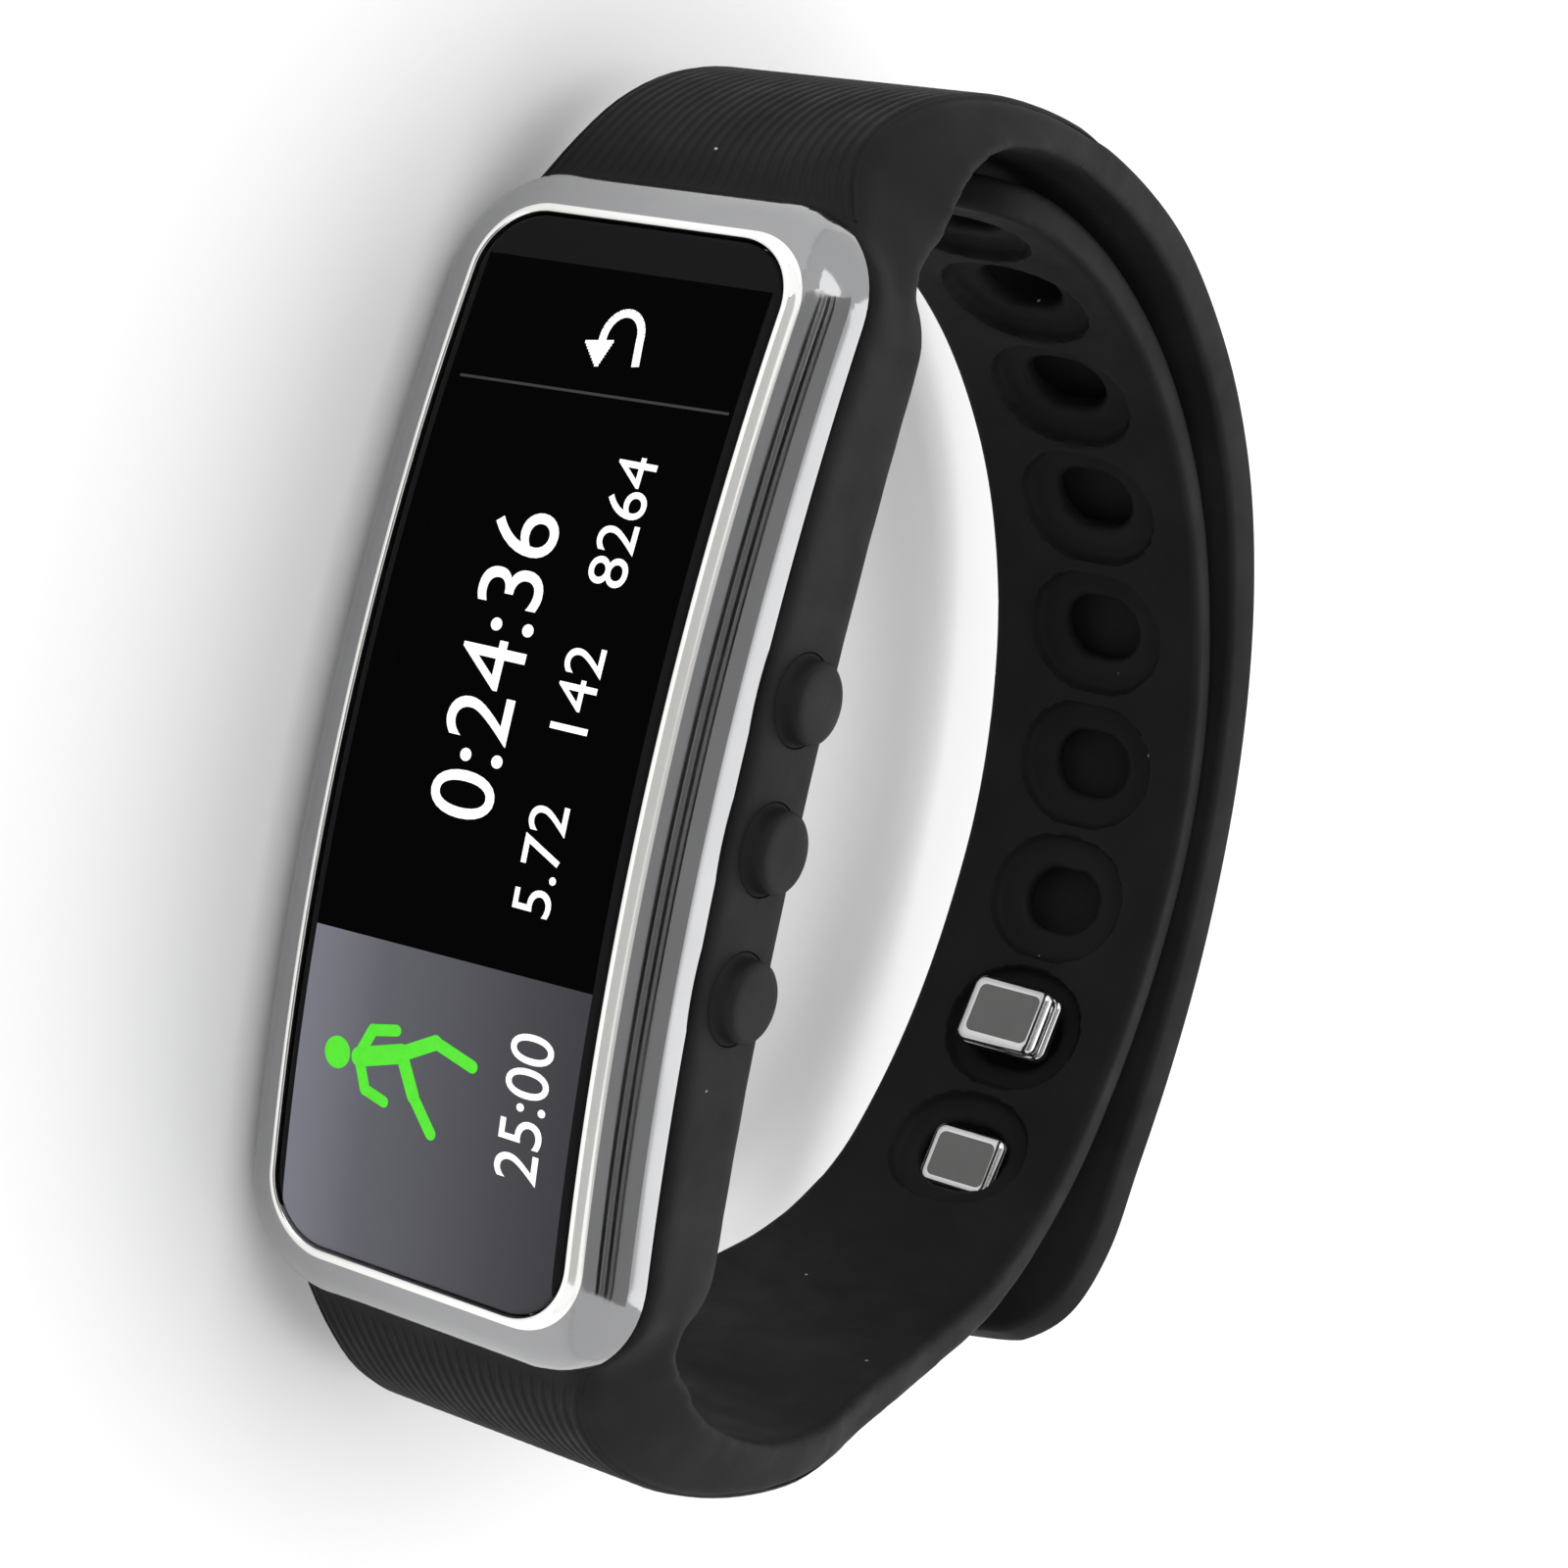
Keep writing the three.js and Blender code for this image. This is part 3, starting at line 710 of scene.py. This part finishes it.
def strap_block(path, start, stop, step):
    """A strap as a flat block in true millimetres, sliced so that it can wrap."""
    bm = bmesh.new()
    verts = bmesh.ops.create_cube(bm, size=1.0)["verts"]
    bmesh.ops.scale(bm, vec=(stop - start, 2.0, 1.0), verts=verts)
    bmesh.ops.translate(bm, vec=((start + stop) / 2, 0, 0.5), verts=verts)
    slice_up(bm, 0, step)
    free_end = stop > path.end - 1e-6
    if free_end:
        for t in END_CUTS:
            cut_at(bm, 0, stop - t)
    remap(bm, path.true_size)
    if free_end:
        remap(bm, lambda co: narrowed(co, end_curve(co[:, 0], stop)))
    return bm


def tucked(bm, path, start, stop, depth=0.12):
    """Draws the section in towards stop, so that one moulding slips inside the next without a step."""

    def draw_in(co):
        part = np.clip((co[:, 0] - start) / (stop - start), 0, 1)
        inset = depth * part * part * (3 - 2 * part)
        thick = np.interp(co[:, 0], path.s, path.thick)
        middle = thick / 2
        co[:, 1] *= 1 - inset / np.maximum(np.abs(path.at(co[:, 0])[:, 5]), 1)
        co[:, 2] = middle + (co[:, 2] - middle) * (1 - inset / middle)
        return co

    remap(bm, draw_in)


def long_edges(bm, start):
    """The strap block's long edges beyond start, and the rim of its free end."""
    bm.normal_update()
    chosen = []
    for edge in bm.edges:
        middle = (edge.verts[0].co.x + edge.verts[1].co.x) / 2
        if len(edge.link_faces) == 2 and edge.calc_face_angle(0) > 0.9 and middle > start + 1e-4:
            chosen.append(edge)
    return chosen


# ---------- operators ----------
class BAND_OT_finishes(bpy.types.Operator):
    """Makes the materials and gives the carried-over inner parts theirs"""

    bl_idname = "band.finishes"
    bl_label = "Finishes"

    def execute(self, context):
        looks = context.scene.band_looks
        made = {
            "band_rubber": rubber_finish("band_rubber", looks.rubber),
            "button_rubber": rubber_finish("button_rubber", looks.rubber, 0.5),
            "bezel_chrome": chrome_finish("bezel_chrome", looks.chrome),
            "lens_glass": glass_finish("lens_glass"),
            "black_plastic": moulded_finish("black_plastic", (0.011, 0.011, 0.012), 0.4),
            "panel_black": moulded_finish("panel_black", (0.004, 0.004, 0.005), 0.2, 3000.0),
            "frame_steel": moulded_finish("frame_steel", (0.42, 0.42, 0.43), 0.3, 9000.0, 1.0),
            "board_green": board_finish("board_green"),
            "chip_black": moulded_finish("chip_black", (0.006, 0.006, 0.007), 0.5, 12000.0),
            "battery_foil": moulded_finish("battery_foil", (0.5, 0.51, 0.53), 0.35, 1500.0, 0.9),
            "flex_amber": moulded_finish("flex_amber", (0.36, 0.13, 0.02), 0.4, 4000.0),
            "pad_silicone": moulded_finish("pad_silicone", (0.05, 0.05, 0.055), 0.7, 3000.0),
            "contact_gold": moulded_finish("contact_gold", (0.75, 0.46, 0.13), 0.22, 9000.0, 1.0),
        }
        for slot in (m["slot"] for m in frame["record"]["materials"]):
            if slot not in made:
                raise RuntimeError("no finish for the slot " + slot)
        for node in frame["nodes"].values():
            for holder in node.material_slots:
                name = holder.material.name.split(".")[0] if holder.material else ""
                if name in made:
                    holder.material = made[name]
        FINISHES.update(made)
        return {"FINISHED"}


class BAND_OT_sleeve(bpy.types.Operator):
    """Moulds the rubber sleeve round the module together with both strap roots"""

    bl_idname = "band.sleeve"
    bl_label = "Sleeve and Roots"

    def execute(self, context):
        sizes = context.scene.band_sizes
        bm = bmesh.new()
        skin(
            bm,
            [
                (28.65, 11.95, 5.5, 2.9),
                (28.9, 12.2, 5.7, 3.15),
                (28.9, 12.2, 5.7, 8.2),
                (28.7, 12.0, 5.5, 8.8),
                (28.0, 11.3, 4.9, 9.1),
            ],
        )
        slice_up(bm, 0, 1.5)
        remap(bm, module_space)
        roots = ((clasp_path, CLASP_SHOULDER, CLASP_ROOT), (holed_path, HOLED_SHOULDER, HOLED_ROOT))
        for path, shoulder, stop in roots:
            root_path = StrapPath((shoulder, *path.stations))
            stop += root_path.end - path.end
            root = strap_block(root_path, 0.0, stop + 1.0, 0.8)
            round_off(root, long_edges(root, -1.0), 0.46, 4)
            tucked(root, root_path, stop - 2.5, stop + 1.0, 0.06)
            remap(root, root_path.wrap)
            mesh = bpy.data.meshes.new("root")
            root.to_mesh(mesh)
            root.free()
            bm.from_mesh(mesh)
            bpy.data.meshes.remove(mesh)
        bmesh.ops.recalc_face_normals(bm, faces=bm.faces[:])
        bm = melted(bm, sizes.voxel * 1000, 24)
        bm = carved(bm, self.hollow())
        finished(bm, "sleeve", FINISHES["band_rubber"], "case", ["case_sleeve"], 40)
        return {"FINISHED"}

    @staticmethod
    def hollow():
        cutter = bmesh.new()
        skin(cutter, [(27.3, 10.6, 4.1, 1.0), (27.3, 10.6, 4.1, 11.0)])
        slice_up(cutter, 0, 1.5)
        remap(cutter, module_space)
        for u in BUTTON_X:
            x, y, _ = module_space(np.array([[u, 0, 5.95]]))[0]
            matrix = Matrix.Translation((x, y, 12.0))
            bmesh.ops.create_cone(
                cutter, cap_ends=True, segments=40, radius1=2.29, radius2=2.29, depth=4.4, matrix=matrix
            )
        bmesh.ops.recalc_face_normals(cutter, faces=cutter.faces[:])
        return cutter


class BAND_OT_straps(bpy.types.Operator):
    """Moulds the clasp strap and the holed strap with its pockets and slots"""

    bl_idname = "band.straps"
    bl_label = "Straps"

    def execute(self, context):
        self.clasp_strap()
        self.holed_strap(context.scene.band_sizes)
        return {"FINISHED"}

    @staticmethod
    def clasp_strap():
        start, stop = CLASP_ROOT - 4.5, clasp_path.end
        bm = strap_block(clasp_path, start, stop, 0.4)
        round_off(bm, long_edges(bm, start), 0.42, 4)
        tucked(bm, clasp_path, start + 3.5, start)
        remap(bm, clasp_path.wrap)
        ends = to_frame(clasp_path.wrap(np.array([[TAIL_FLEX - 5, 0, 2.0], [TAIL_FLEX + 5, 0, 2.0]])))
        body = ("case", "tail", tuple(ends[0]), tuple(ends[1]))
        rubber = FINISHES["band_rubber"]
        finished(bm, "clasp_strap", rubber, body, ["outer_strap", "strap_tail"], 30)

    @staticmethod
    def holed_strap(sizes):
        start, stop = HOLED_ROOT - 4.5, holed_path.end
        bm = strap_block(holed_path, start - 3, stop, 0.6)
        round_off(bm, long_edges(bm, start - 3), 0.42, 3)
        tucked(bm, holed_path, start + 3.5, start)
        depth = sizes.pocket_depth * 1000
        pockets, slots = bmesh.new(), bmesh.new()
        for k in range(SLOT_COUNT):
            s = FIRST_SLOT + k * SLOT_PITCH
            block(pockets, (7.7, 8.6, 3.0), (s, 0, depth - 1.5), corner=3.7, corner_steps=10)
            size = (4.5, 5.5) if k < 2 else (3.9, 4.9)
            block(slots, (*size, 8.0), (s, 0, 1.0), corner=size[0] * 0.48, corner_steps=10)
        bm = carved(carved(bm, pockets), slots)
        bm = melted(bm, sizes.voxel * 1000, 3)
        bmesh.ops.bisect_plane(
            bm, geom=everything(bm), dist=1e-5, plane_co=(start, 0, 0), plane_no=(-1, 0, 0), clear_outer=True
        )
        remap(bm, holed_path.wrap)
        ends = to_frame(holed_path.wrap(np.array([[TIP_FLEX - 5, 0, 0], [TIP_FLEX + 5, 0, 0]])))
        body = ("case", "tip", tuple(ends[0]), tuple(ends[1]))
        rubber = FINISHES["band_rubber"]
        finished(bm, "holed_strap_skin", rubber, body, ["holed_strap", "strap_tip"], 40)


class BAND_OT_ribs(bpy.types.Operator):
    """Lays the fine lengthwise ribs over both roots"""

    bl_idname = "band.ribs"
    bl_label = "Ribs"

    def execute(self, context):
        sizes = context.scene.band_sizes
        self.root(sizes, clasp_path, "clasp_ribs", 24.5)
        self.root(sizes, holed_path, "holed_ribs", 23.5)
        return {"FINISHED"}

    @staticmethod
    def root(sizes, path, name, stop):
        bm = bmesh.new()
        steps = sizes.rib_count * 6
        bmesh.ops.create_grid(bm, x_segments=26, y_segments=steps, size=1.0)
        height = sizes.rib_height * 1000

        def lay(co):
            s = -0.4 + (co[:, 0] + 1) / 2 * (stop + 0.4)
            across = co[:, 1]
            row = path.at(s)
            thick = np.interp(s, path.s, path.thick)
            wave = np.abs(np.cos(np.pi * sizes.rib_count / 2 * (across + 1))) ** 0.8
            fade = np.clip((stop - s) / 2.5, 0, 1) * np.clip((1 - np.abs(across)) / 0.02, 0, 1)
            up = thick * 0.97 + 0.02 + height * wave * fade - 0.12 * (1 - fade)
            half = row[:, 2] - 0.15
            flat = np.column_stack((s, across * half, up))
            return path.wrap(flat)

        remap(bm, lay)
        rubber = FINISHES["band_rubber"]
        finished(bm, name, rubber, "case", (), 60)


class BAND_OT_bezel(bpy.types.Operator):
    """Forms the chrome bezel round the glass"""

    bl_idname = "band.bezel"
    bl_label = "Bezel"

    PROFILE = (
        (0.06, 0.90), (0.06, 0.05), (0.09, -0.05), (0.17, -0.11), (0.30, -0.12), (0.43, -0.08), (0.54, 0.01),
        (0.80, 0.10), (1.20, 0.27), (1.62, 0.50), (2.05, 0.83), (2.42, 1.24), (2.70, 1.66), (2.90, 2.07),
        (3.02, 2.38), (3.09, 2.62), (3.02, 2.75), (1.80, 2.75), (1.40, 1.60),
    )  # fmt: skip

    def execute(self, context):
        bm = bmesh.new()
        rings = [(25.6 + g, 8.8 + g, 3.2 + g * 0.78, n) for g, n in self.PROFILE]
        skin(bm, rings, ring_closed=True)
        slice_up(bm, 0, 0.8)
        remap(bm, module_space)
        finished(bm, "bezel_trim", FINISHES["bezel_chrome"], "case", ["bezel"], 50)
        return {"FINISHED"}


class BAND_OT_glass(bpy.types.Operator):
    """Makes the cover glass and the lit picture on it"""

    bl_idname = "band.glass"
    bl_label = "Glass and Picture"

    def execute(self, context):
        bm = bmesh.new()
        rings = [
            (25.2, 8.4, 2.85, 0.0),
            (25.42, 8.62, 3.05, 0.06),
            (25.55, 8.75, 3.15, 0.2),
            (25.6, 8.8, 3.2, 0.4),
            (25.6, 8.8, 3.2, 0.95),
        ]
        skin(bm, rings)
        slice_up(bm, 0, 0.8)
        remap(bm, module_space)
        finished(bm, "cover_glass", FINISHES["lens_glass"], "case", ["lens"], 40)
        self.picture(context.scene.band_looks)
        return {"FINISHED"}

    def picture(self, looks):
        white = screen_finish("screen_white", looks.screen_text, 1.0)
        dim = screen_finish("screen_dim", (0.05, 0.05, 0.05), 0.5)
        green = screen_finish("screen_green", looks.runner, 0.85)
        self.digits("timer_digits", looks.timer, 3.5, -11.2, -3.0, 0.75, white)
        self.digits("counter_digits", looks.counters, 7.0, -14.6, 2.9, 5.1, white)
        self.digits("lap_digits", looks.lap, 19.2, 12.3, 4.2, 6.7, white)
        self.bars("back_arrow", self.arrow(), white)
        self.bars("separator_line", [((-17.0, -7.6), (-17.3, 8.0), 0.13)], dim)
        self.runner(green)

    @staticmethod
    def arrow():
        arc = [(-20.0 - 1.25 * math.sin(a), 0.9 - 1.05 * math.cos(a)) for a in np.linspace(0, math.pi, 13)]
        points = [(-19.4, -0.12)] + arc + [(-18.75, 2.15)]
        bars = [(a, b, 0.42) for a, b in zip(points, points[1:])]
        head = [
            ((-19.75 + 0.14 * k, -0.28 + 0.03 * k), (-19.6 + 0.14 * k, -0.26 + 0.03 * k), 1.6 - 0.17 * k)
            for k in range(9)
        ]
        return bars + head

    @staticmethod
    def runner(material):
        """A running figure of rounded bars, with its head towards the display's far side."""
        joints = [
            ((15.75, -4.5), (15.0, -2.0), 0.95),
            ((15.8, -4.5), (17.2, -3.9), 0.6),
            ((17.2, -3.9), (17.5, -2.7), 0.56),
            ((15.6, -4.5), (14.3, -3.9), 0.6),
            ((14.3, -3.9), (14.0, -2.5), 0.56),
            ((15.0, -2.0), (16.8, -1.0), 0.72),
            ((16.8, -1.0), (18.3, 0.3), 0.62),
            ((15.0, -2.0), (14.0, -0.1), 0.72),
            ((14.0, -0.1), (14.6, 2.2), 0.62),
        ]
        BAND_OT_glass.bars("runner_sign", joints, material, head=(15.85, -5.85, 0.78), rounded=True)

    @staticmethod
    def bars(name, segments, material, head=None, rounded=False):
        bm = bmesh.new()
        for (u0, z0), (u1, z1), width in segments:
            a, b = Vector((u0, z0, 0)), Vector((u1, z1, 0))
            turn = Matrix.Rotation(math.atan2(z1 - z0, u1 - u0), 4, "Z")
            made = bmesh.ops.create_cube(bm, size=1.0)["verts"]
            bmesh.ops.scale(bm, vec=((b - a).length, width, 1), verts=made)
            bmesh.ops.transform(bm, matrix=Matrix.Translation((a + b) / 2) @ turn, verts=made)
            for end in (a, b) if rounded else ():
                bmesh.ops.create_cone(
                    bm, cap_ends=True, segments=20, radius1=width / 2, radius2=width / 2, depth=1.0,
                    matrix=Matrix.Translation(end),
                )
        if head:
            matrix = Matrix.Translation((head[0], head[1], 0))
            bmesh.ops.create_cone(
                bm, cap_ends=True, segments=32, radius1=head[2], radius2=head[2], depth=1.0, matrix=matrix
            )
        BAND_OT_glass.laid(bm, name, material)

    @staticmethod
    def laid(bm, name, material):
        """Presses flat shapes into a thin layer on the glass."""
        for vert in bm.verts:
            vert.co.z = -0.012 if vert.co.z > 0 else 0.03
        slice_up(bm, 0, 0.8)
        remap(bm, module_space)
        finished(bm, name, material, "case", (), 30)

    @staticmethod
    def digits(name, text, u_start, u_end, z_top, z_base, material):
        """Text that reads along the display, its top towards the display's far side."""
        curve = bpy.data.curves.new(name, "FONT")
        curve.body = text
        curve.size = 1.0
        curve.extrude = 0.1
        curve.resolution_u = 6
        holder = bpy.data.objects.new(name + "_type", curve)
        bpy.context.scene.collection.objects.link(holder)
        bm = applied(holder)
        lows = [min(v.co[k] for v in bm.verts) for k in (0, 1)]
        spans = [max(v.co[k] for v in bm.verts) - lows[k] for k in (0, 1)]

        def lie(co):
            u = u_start + (co[:, 0] - lows[0]) / spans[0] * (u_end - u_start)
            z = z_base + (co[:, 1] - lows[1]) / spans[1] * (z_top - z_base)
            return np.column_stack((u, z, co[:, 2]))

        remap(bm, lie)
        BAND_OT_glass.laid(bm, name, material)


class BAND_OT_buttons(bpy.types.Operator):
    """Spins the three soft button caps"""

    bl_idname = "band.buttons"
    bl_label = "Buttons"

    PROFILE = (
        (0.0, 9.2), (1.1, 9.2), (1.1, 11.0), (2.26, 11.0), (2.26, 12.12), (2.2, 12.2),
        (2.09, 12.32), (2.03, 12.5), (2.0, 12.72), (1.99, 12.95), (1.93, 13.1), (1.82, 13.2),
        (1.66, 13.26), (1.4, 13.29), (0.8, 13.31), (0.0, 13.32),
    )  # fmt: skip

    def execute(self, context):
        for k, u in enumerate(BUTTON_X):
            bm = bmesh.new()
            verts = [bm.verts.new((r, 0, z)) for r, z in self.PROFILE]
            edges = [bm.edges.new(pair) for pair in zip(verts, verts[1:])]
            bmesh.ops.spin(
                bm,
                geom=verts + edges,
                cent=(0, 0, 0),
                axis=(0, 0, 1),
                angle=math.tau,
                steps=56,
                use_merge=True,
            )
            bmesh.ops.remove_doubles(bm, verts=bm.verts[:], dist=1e-4)
            x, y, _ = module_space(np.array([[u, 0, 5.95]]))[0]
            bmesh.ops.translate(bm, vec=(x, y, 0), verts=bm.verts[:])
            rubber = FINISHES["button_rubber"]
            name = "button_cap_" + str(k + 1)
            finished(bm, "button_" + str(k + 1), rubber, "button_" + str(k + 1), [name], 50)
        return {"FINISHED"}


class BAND_OT_clasp(bpy.types.Operator):
    """Forms the clasp's backing plate and its two studs"""

    bl_idname = "band.clasp"
    bl_label = "Clasp"

    # Width, length, height, depth of the middle below the head's top, rounded edge and its steps.
    LAYERS = ((3.8, 5.4, 0.8, 1.45, 0.25, 3), (3.2, 4.3, 0.6, 0.95, 0.0, 3), (3.9, 4.9, 0.85, 0.425, 0.5, 4))

    def execute(self, context):
        corner = context.scene.band_sizes.stud_corner * 1000
        # Lit and shaded copies of one chrome: the rims carry a painted highlight, far lighter than the
        # bezel's chrome, and the head faces carry a painted shade.
        chrome = chrome_finish("stud_rim", (0.8, 0.79, 0.79))
        shaded_face_chrome = chrome_finish("stud_face", (0.15, 0.15, 0.148), 0.2)
        direction = stud_direction()
        places = [self.place(k, direction) for k in (0, 1)]
        self.plate([reach[1] for reach in places], FINISHES["bezel_chrome"])
        for k, (proud, grow) in enumerate(STUD_HEADS):
            at, (reach, _) = self.middle(k) + Vector(STUD_SHIFT[k]), places[k]
            top = 0.95 + proud
            neck_top, neck_foot = top - 0.7, 0.3 - reach
            z, x = direction, Vector((0, 0, 1))
            seat = Matrix.Translation(at) @ Matrix((z.cross(x), x, z)).transposed().to_4x4()
            number = str(k + 1)
            bm = bmesh.new()
            block(bm, (3.0, 3.9, neck_top - neck_foot), (0, 0, (neck_top + neck_foot) / 2), corner=0.6)
            for width, length, height, drop, edge, edge_steps in self.LAYERS:
                size = (width * grow, length * grow, height)
                block(bm, size, (0, 0, top - drop), corner=corner, edge=edge, edge_steps=edge_steps)
            bmesh.ops.transform(bm, matrix=seat, verts=bm.verts[:])
            finished(bm, "stud_" + number, chrome, "tail", ["clasp_stud_" + number], 40)
            # A thin sheet over each head's top in the darker copy of the chrome: painted shade on the face.
            bm = bmesh.new()
            block(bm, (2.8 * grow, 3.8 * grow, 0.1), (0, 0, top - 0.035), corner=corner * 0.6)
            bmesh.ops.transform(bm, matrix=seat, verts=bm.verts[:])
            finished(bm, "stud_face_" + number, shaded_face_chrome, "tail", (), 40)
        return {"FINISHED"}

    @staticmethod
    def middle(k):
        row = holed_path.at([FIRST_SLOT + k * SLOT_PITCH])[0]
        return Vector(((row[0] + row[3]) / 2, (row[1] + row[4]) / 2, 0))

    @staticmethod
    def place(k, direction):
        """How far out the clasp strap's outer face is from slot k, and where along the strap."""
        at = BAND_OT_clasp.middle(k)
        outer = clasp_path.rows[:, 0:2] - np.array(at)[:2]
        side = np.array((-direction.y, direction.x))
        off = np.abs(outer @ side) + np.where(clasp_path.mid[:, 1] > 0, 0, 1e3)
        i = int(np.argmin(off))
        return -float(outer[i] @ np.array(direction)[:2]), float(clasp_path.s[i])

    @staticmethod
    def plate(stations, chrome):
        start, stop = stations[1] - 5.6, stations[0] + 5.6
        bm = bmesh.new()
        size = (stop - start, 11.2, 0.65)
        block(bm, size, ((start + stop) / 2, 0, 0), corner=1.7, edge=0.2)
        slice_up(bm, 0, 0.8)

        def seat(co):
            thick = np.interp(co[:, 0], clasp_path.s, clasp_path.thick)
            return clasp_path.wrap(np.column_stack((co[:, 0], co[:, 1], thick + 0.12 + 0.325 + co[:, 2])))

        remap(bm, seat)
        finished(bm, "backing_plate", chrome, "tail", ["clasp_plate"], 30)


class BAND_OT_stage(bpy.types.Operator):
    """Sets the pale floor, the soft studio lights and the camera"""

    bl_idname = "band.stage"
    bl_label = "Stage"

    def execute(self, context):
        looks = context.scene.band_stage
        self.floor(looks)
        self.lights(context, looks)
        self.camera(context, looks)
        return {"FINISHED"}

    @staticmethod
    def floor(looks):
        bm = bmesh.new()
        bmesh.ops.create_grid(bm, x_segments=1, y_segments=1, size=3.0)
        bmesh.ops.translate(bm, vec=(0, 0, -0.00002), verts=bm.verts[:])
        mesh = bpy.data.meshes.new("floor")
        bm.to_mesh(mesh)
        bm.free()
        book = Finish("floor_paper", Roughness=0.85)
        tone = book.mix(book.noise(3.0), colour(looks.floor), colour(looks.floor, 0.985))
        mesh.materials.append(book.feed(Base_Color=tone))
        floor = bpy.data.objects.new("floor", mesh)
        bpy.context.scene.collection.objects.link(floor)

    @staticmethod
    def lights(context, looks):
        world = bpy.data.worlds.new("studio")
        world.use_nodes = True
        world.node_tree.nodes["Background"].inputs[0].default_value = (1, 1, 1, 1)
        world.node_tree.nodes["Background"].inputs[1].default_value = 1.05
        context.scene.world = world
        context.scene.view_settings.view_transform = "Standard"
        soft_light("key", looks.key, (0.0, 0.36, 0.50), 0.80)
        soft_light("fill", looks.key * 0.15, (-0.35, -0.35, 0.30), 0.30)
        for k, (low, high, shade) in enumerate(CARDS):
            card("card_" + str(k + 1), low, high, shade)

    @staticmethod
    def camera(context, looks):
        lift, side, roll = (math.radians(v) for v in (31.97, 1.44, 12.68))
        distance = 0.1816
        back = Vector((-math.sin(side), -math.cos(lift) * math.cos(side), math.sin(lift) * math.cos(side)))
        level = Vector((0, math.sin(lift), math.cos(lift)))
        upright = back.cross(level)
        right = level * math.cos(roll) + upright * math.sin(roll)
        up = upright * math.cos(roll) - level * math.sin(roll)
        data = bpy.data.cameras.new("camera")
        data.lens, data.sensor_width = looks.lens, 36.0
        data.shift_x, data.shift_y = -0.00625, 0.0129
        data.clip_start, data.clip_end = 0.01, 20.0
        camera = bpy.data.objects.new("camera", data)
        context.scene.collection.objects.link(camera)
        turn = Matrix((right, up, back)).transposed().to_4x4()
        camera.matrix_world = Matrix.Translation(ORIGIN / 1000 + back * distance) @ turn
        context.scene.camera = camera


def soft_light(name, power, place, size):
    data = bpy.data.lights.new(name, "AREA")
    data.shape = "SQUARE"
    data.energy, data.size = power, size
    light = bpy.data.objects.new(name, data)
    bpy.context.scene.collection.objects.link(light)
    light.location = place
    light.rotation_euler = (Vector((0, 0, 0.012)) - Vector(place)).to_track_quat("-Z", "Y").to_euler()


def card(name, low, high, shade):
    """A grey or black card before the object, between two heights in degrees, for the chrome to mirror."""
    bm = bmesh.new()
    bmesh.ops.create_grid(bm, x_segments=1, y_segments=1, size=1.0)
    middle = math.radians((low + high) / 2)
    half = CARD_DISTANCE * math.tan(math.radians(high - low) / 2)
    bmesh.ops.scale(bm, vec=(CARD_HALF_LENGTH, half, 1), verts=bm.verts[:])
    bmesh.ops.rotate(bm, verts=bm.verts[:], matrix=Matrix.Rotation(math.pi / 2 - middle, 3, "X"))
    place = Vector((0, -math.cos(middle), math.sin(middle))) * CARD_DISTANCE + Vector((0, -0.03, 0.02))
    bmesh.ops.translate(bm, vec=place, verts=bm.verts[:])
    mesh = bpy.data.meshes.new(name)
    bm.to_mesh(mesh)
    bm.free()
    mesh.materials.append(Finish(name, Roughness=0.9).feed(Base_Color=(shade, shade, shade, 1.0)))
    hung = bpy.data.objects.new(name, mesh)
    bpy.context.scene.collection.objects.link(hung)
    hung.visible_camera = hung.visible_diffuse = hung.visible_shadow = False


class BAND_PT_panel(bpy.types.Panel):
    """Lists the band's operators"""

    bl_idname = "BAND_PT_panel"
    bl_label = "Fitness Tracker Band"
    bl_space_type = "VIEW_3D"
    bl_region_type = "UI"
    bl_category = "Band"

    def draw(self, context):
        scene = context.scene
        for group in (scene.band_sizes, scene.band_looks, scene.band_stage):
            for name in group.__annotations__:
                self.layout.prop(group, name)
        for operator in OPERATORS:
            self.layout.operator(operator.bl_idname)


OPERATORS = (
    BAND_OT_stage,
    BAND_OT_finishes,
    BAND_OT_sleeve,
    BAND_OT_straps,
    BAND_OT_ribs,
    BAND_OT_bezel,
    BAND_OT_glass,
    BAND_OT_buttons,
    BAND_OT_clasp,
)
CLASSES = (BandSizes, BandLooks, StageLooks, *OPERATORS, BAND_PT_panel)


def register():
    for cls in CLASSES:
        bpy.utils.register_class(cls)
    bpy.types.Scene.band_sizes = PointerProperty(type=BandSizes)
    bpy.types.Scene.band_looks = PointerProperty(type=BandLooks)
    bpy.types.Scene.band_stage = PointerProperty(type=StageLooks)


def unregister():
    del bpy.types.Scene.band_stage, bpy.types.Scene.band_looks, bpy.types.Scene.band_sizes
    for cls in reversed(CLASSES):
        bpy.utils.unregister_class(cls)


def main():
    register()
    for operator in OPERATORS:
        group, name = operator.bl_idname.split(".")
        getattr(getattr(bpy.ops, group), name)()


if __name__ == "__main__":
    main()
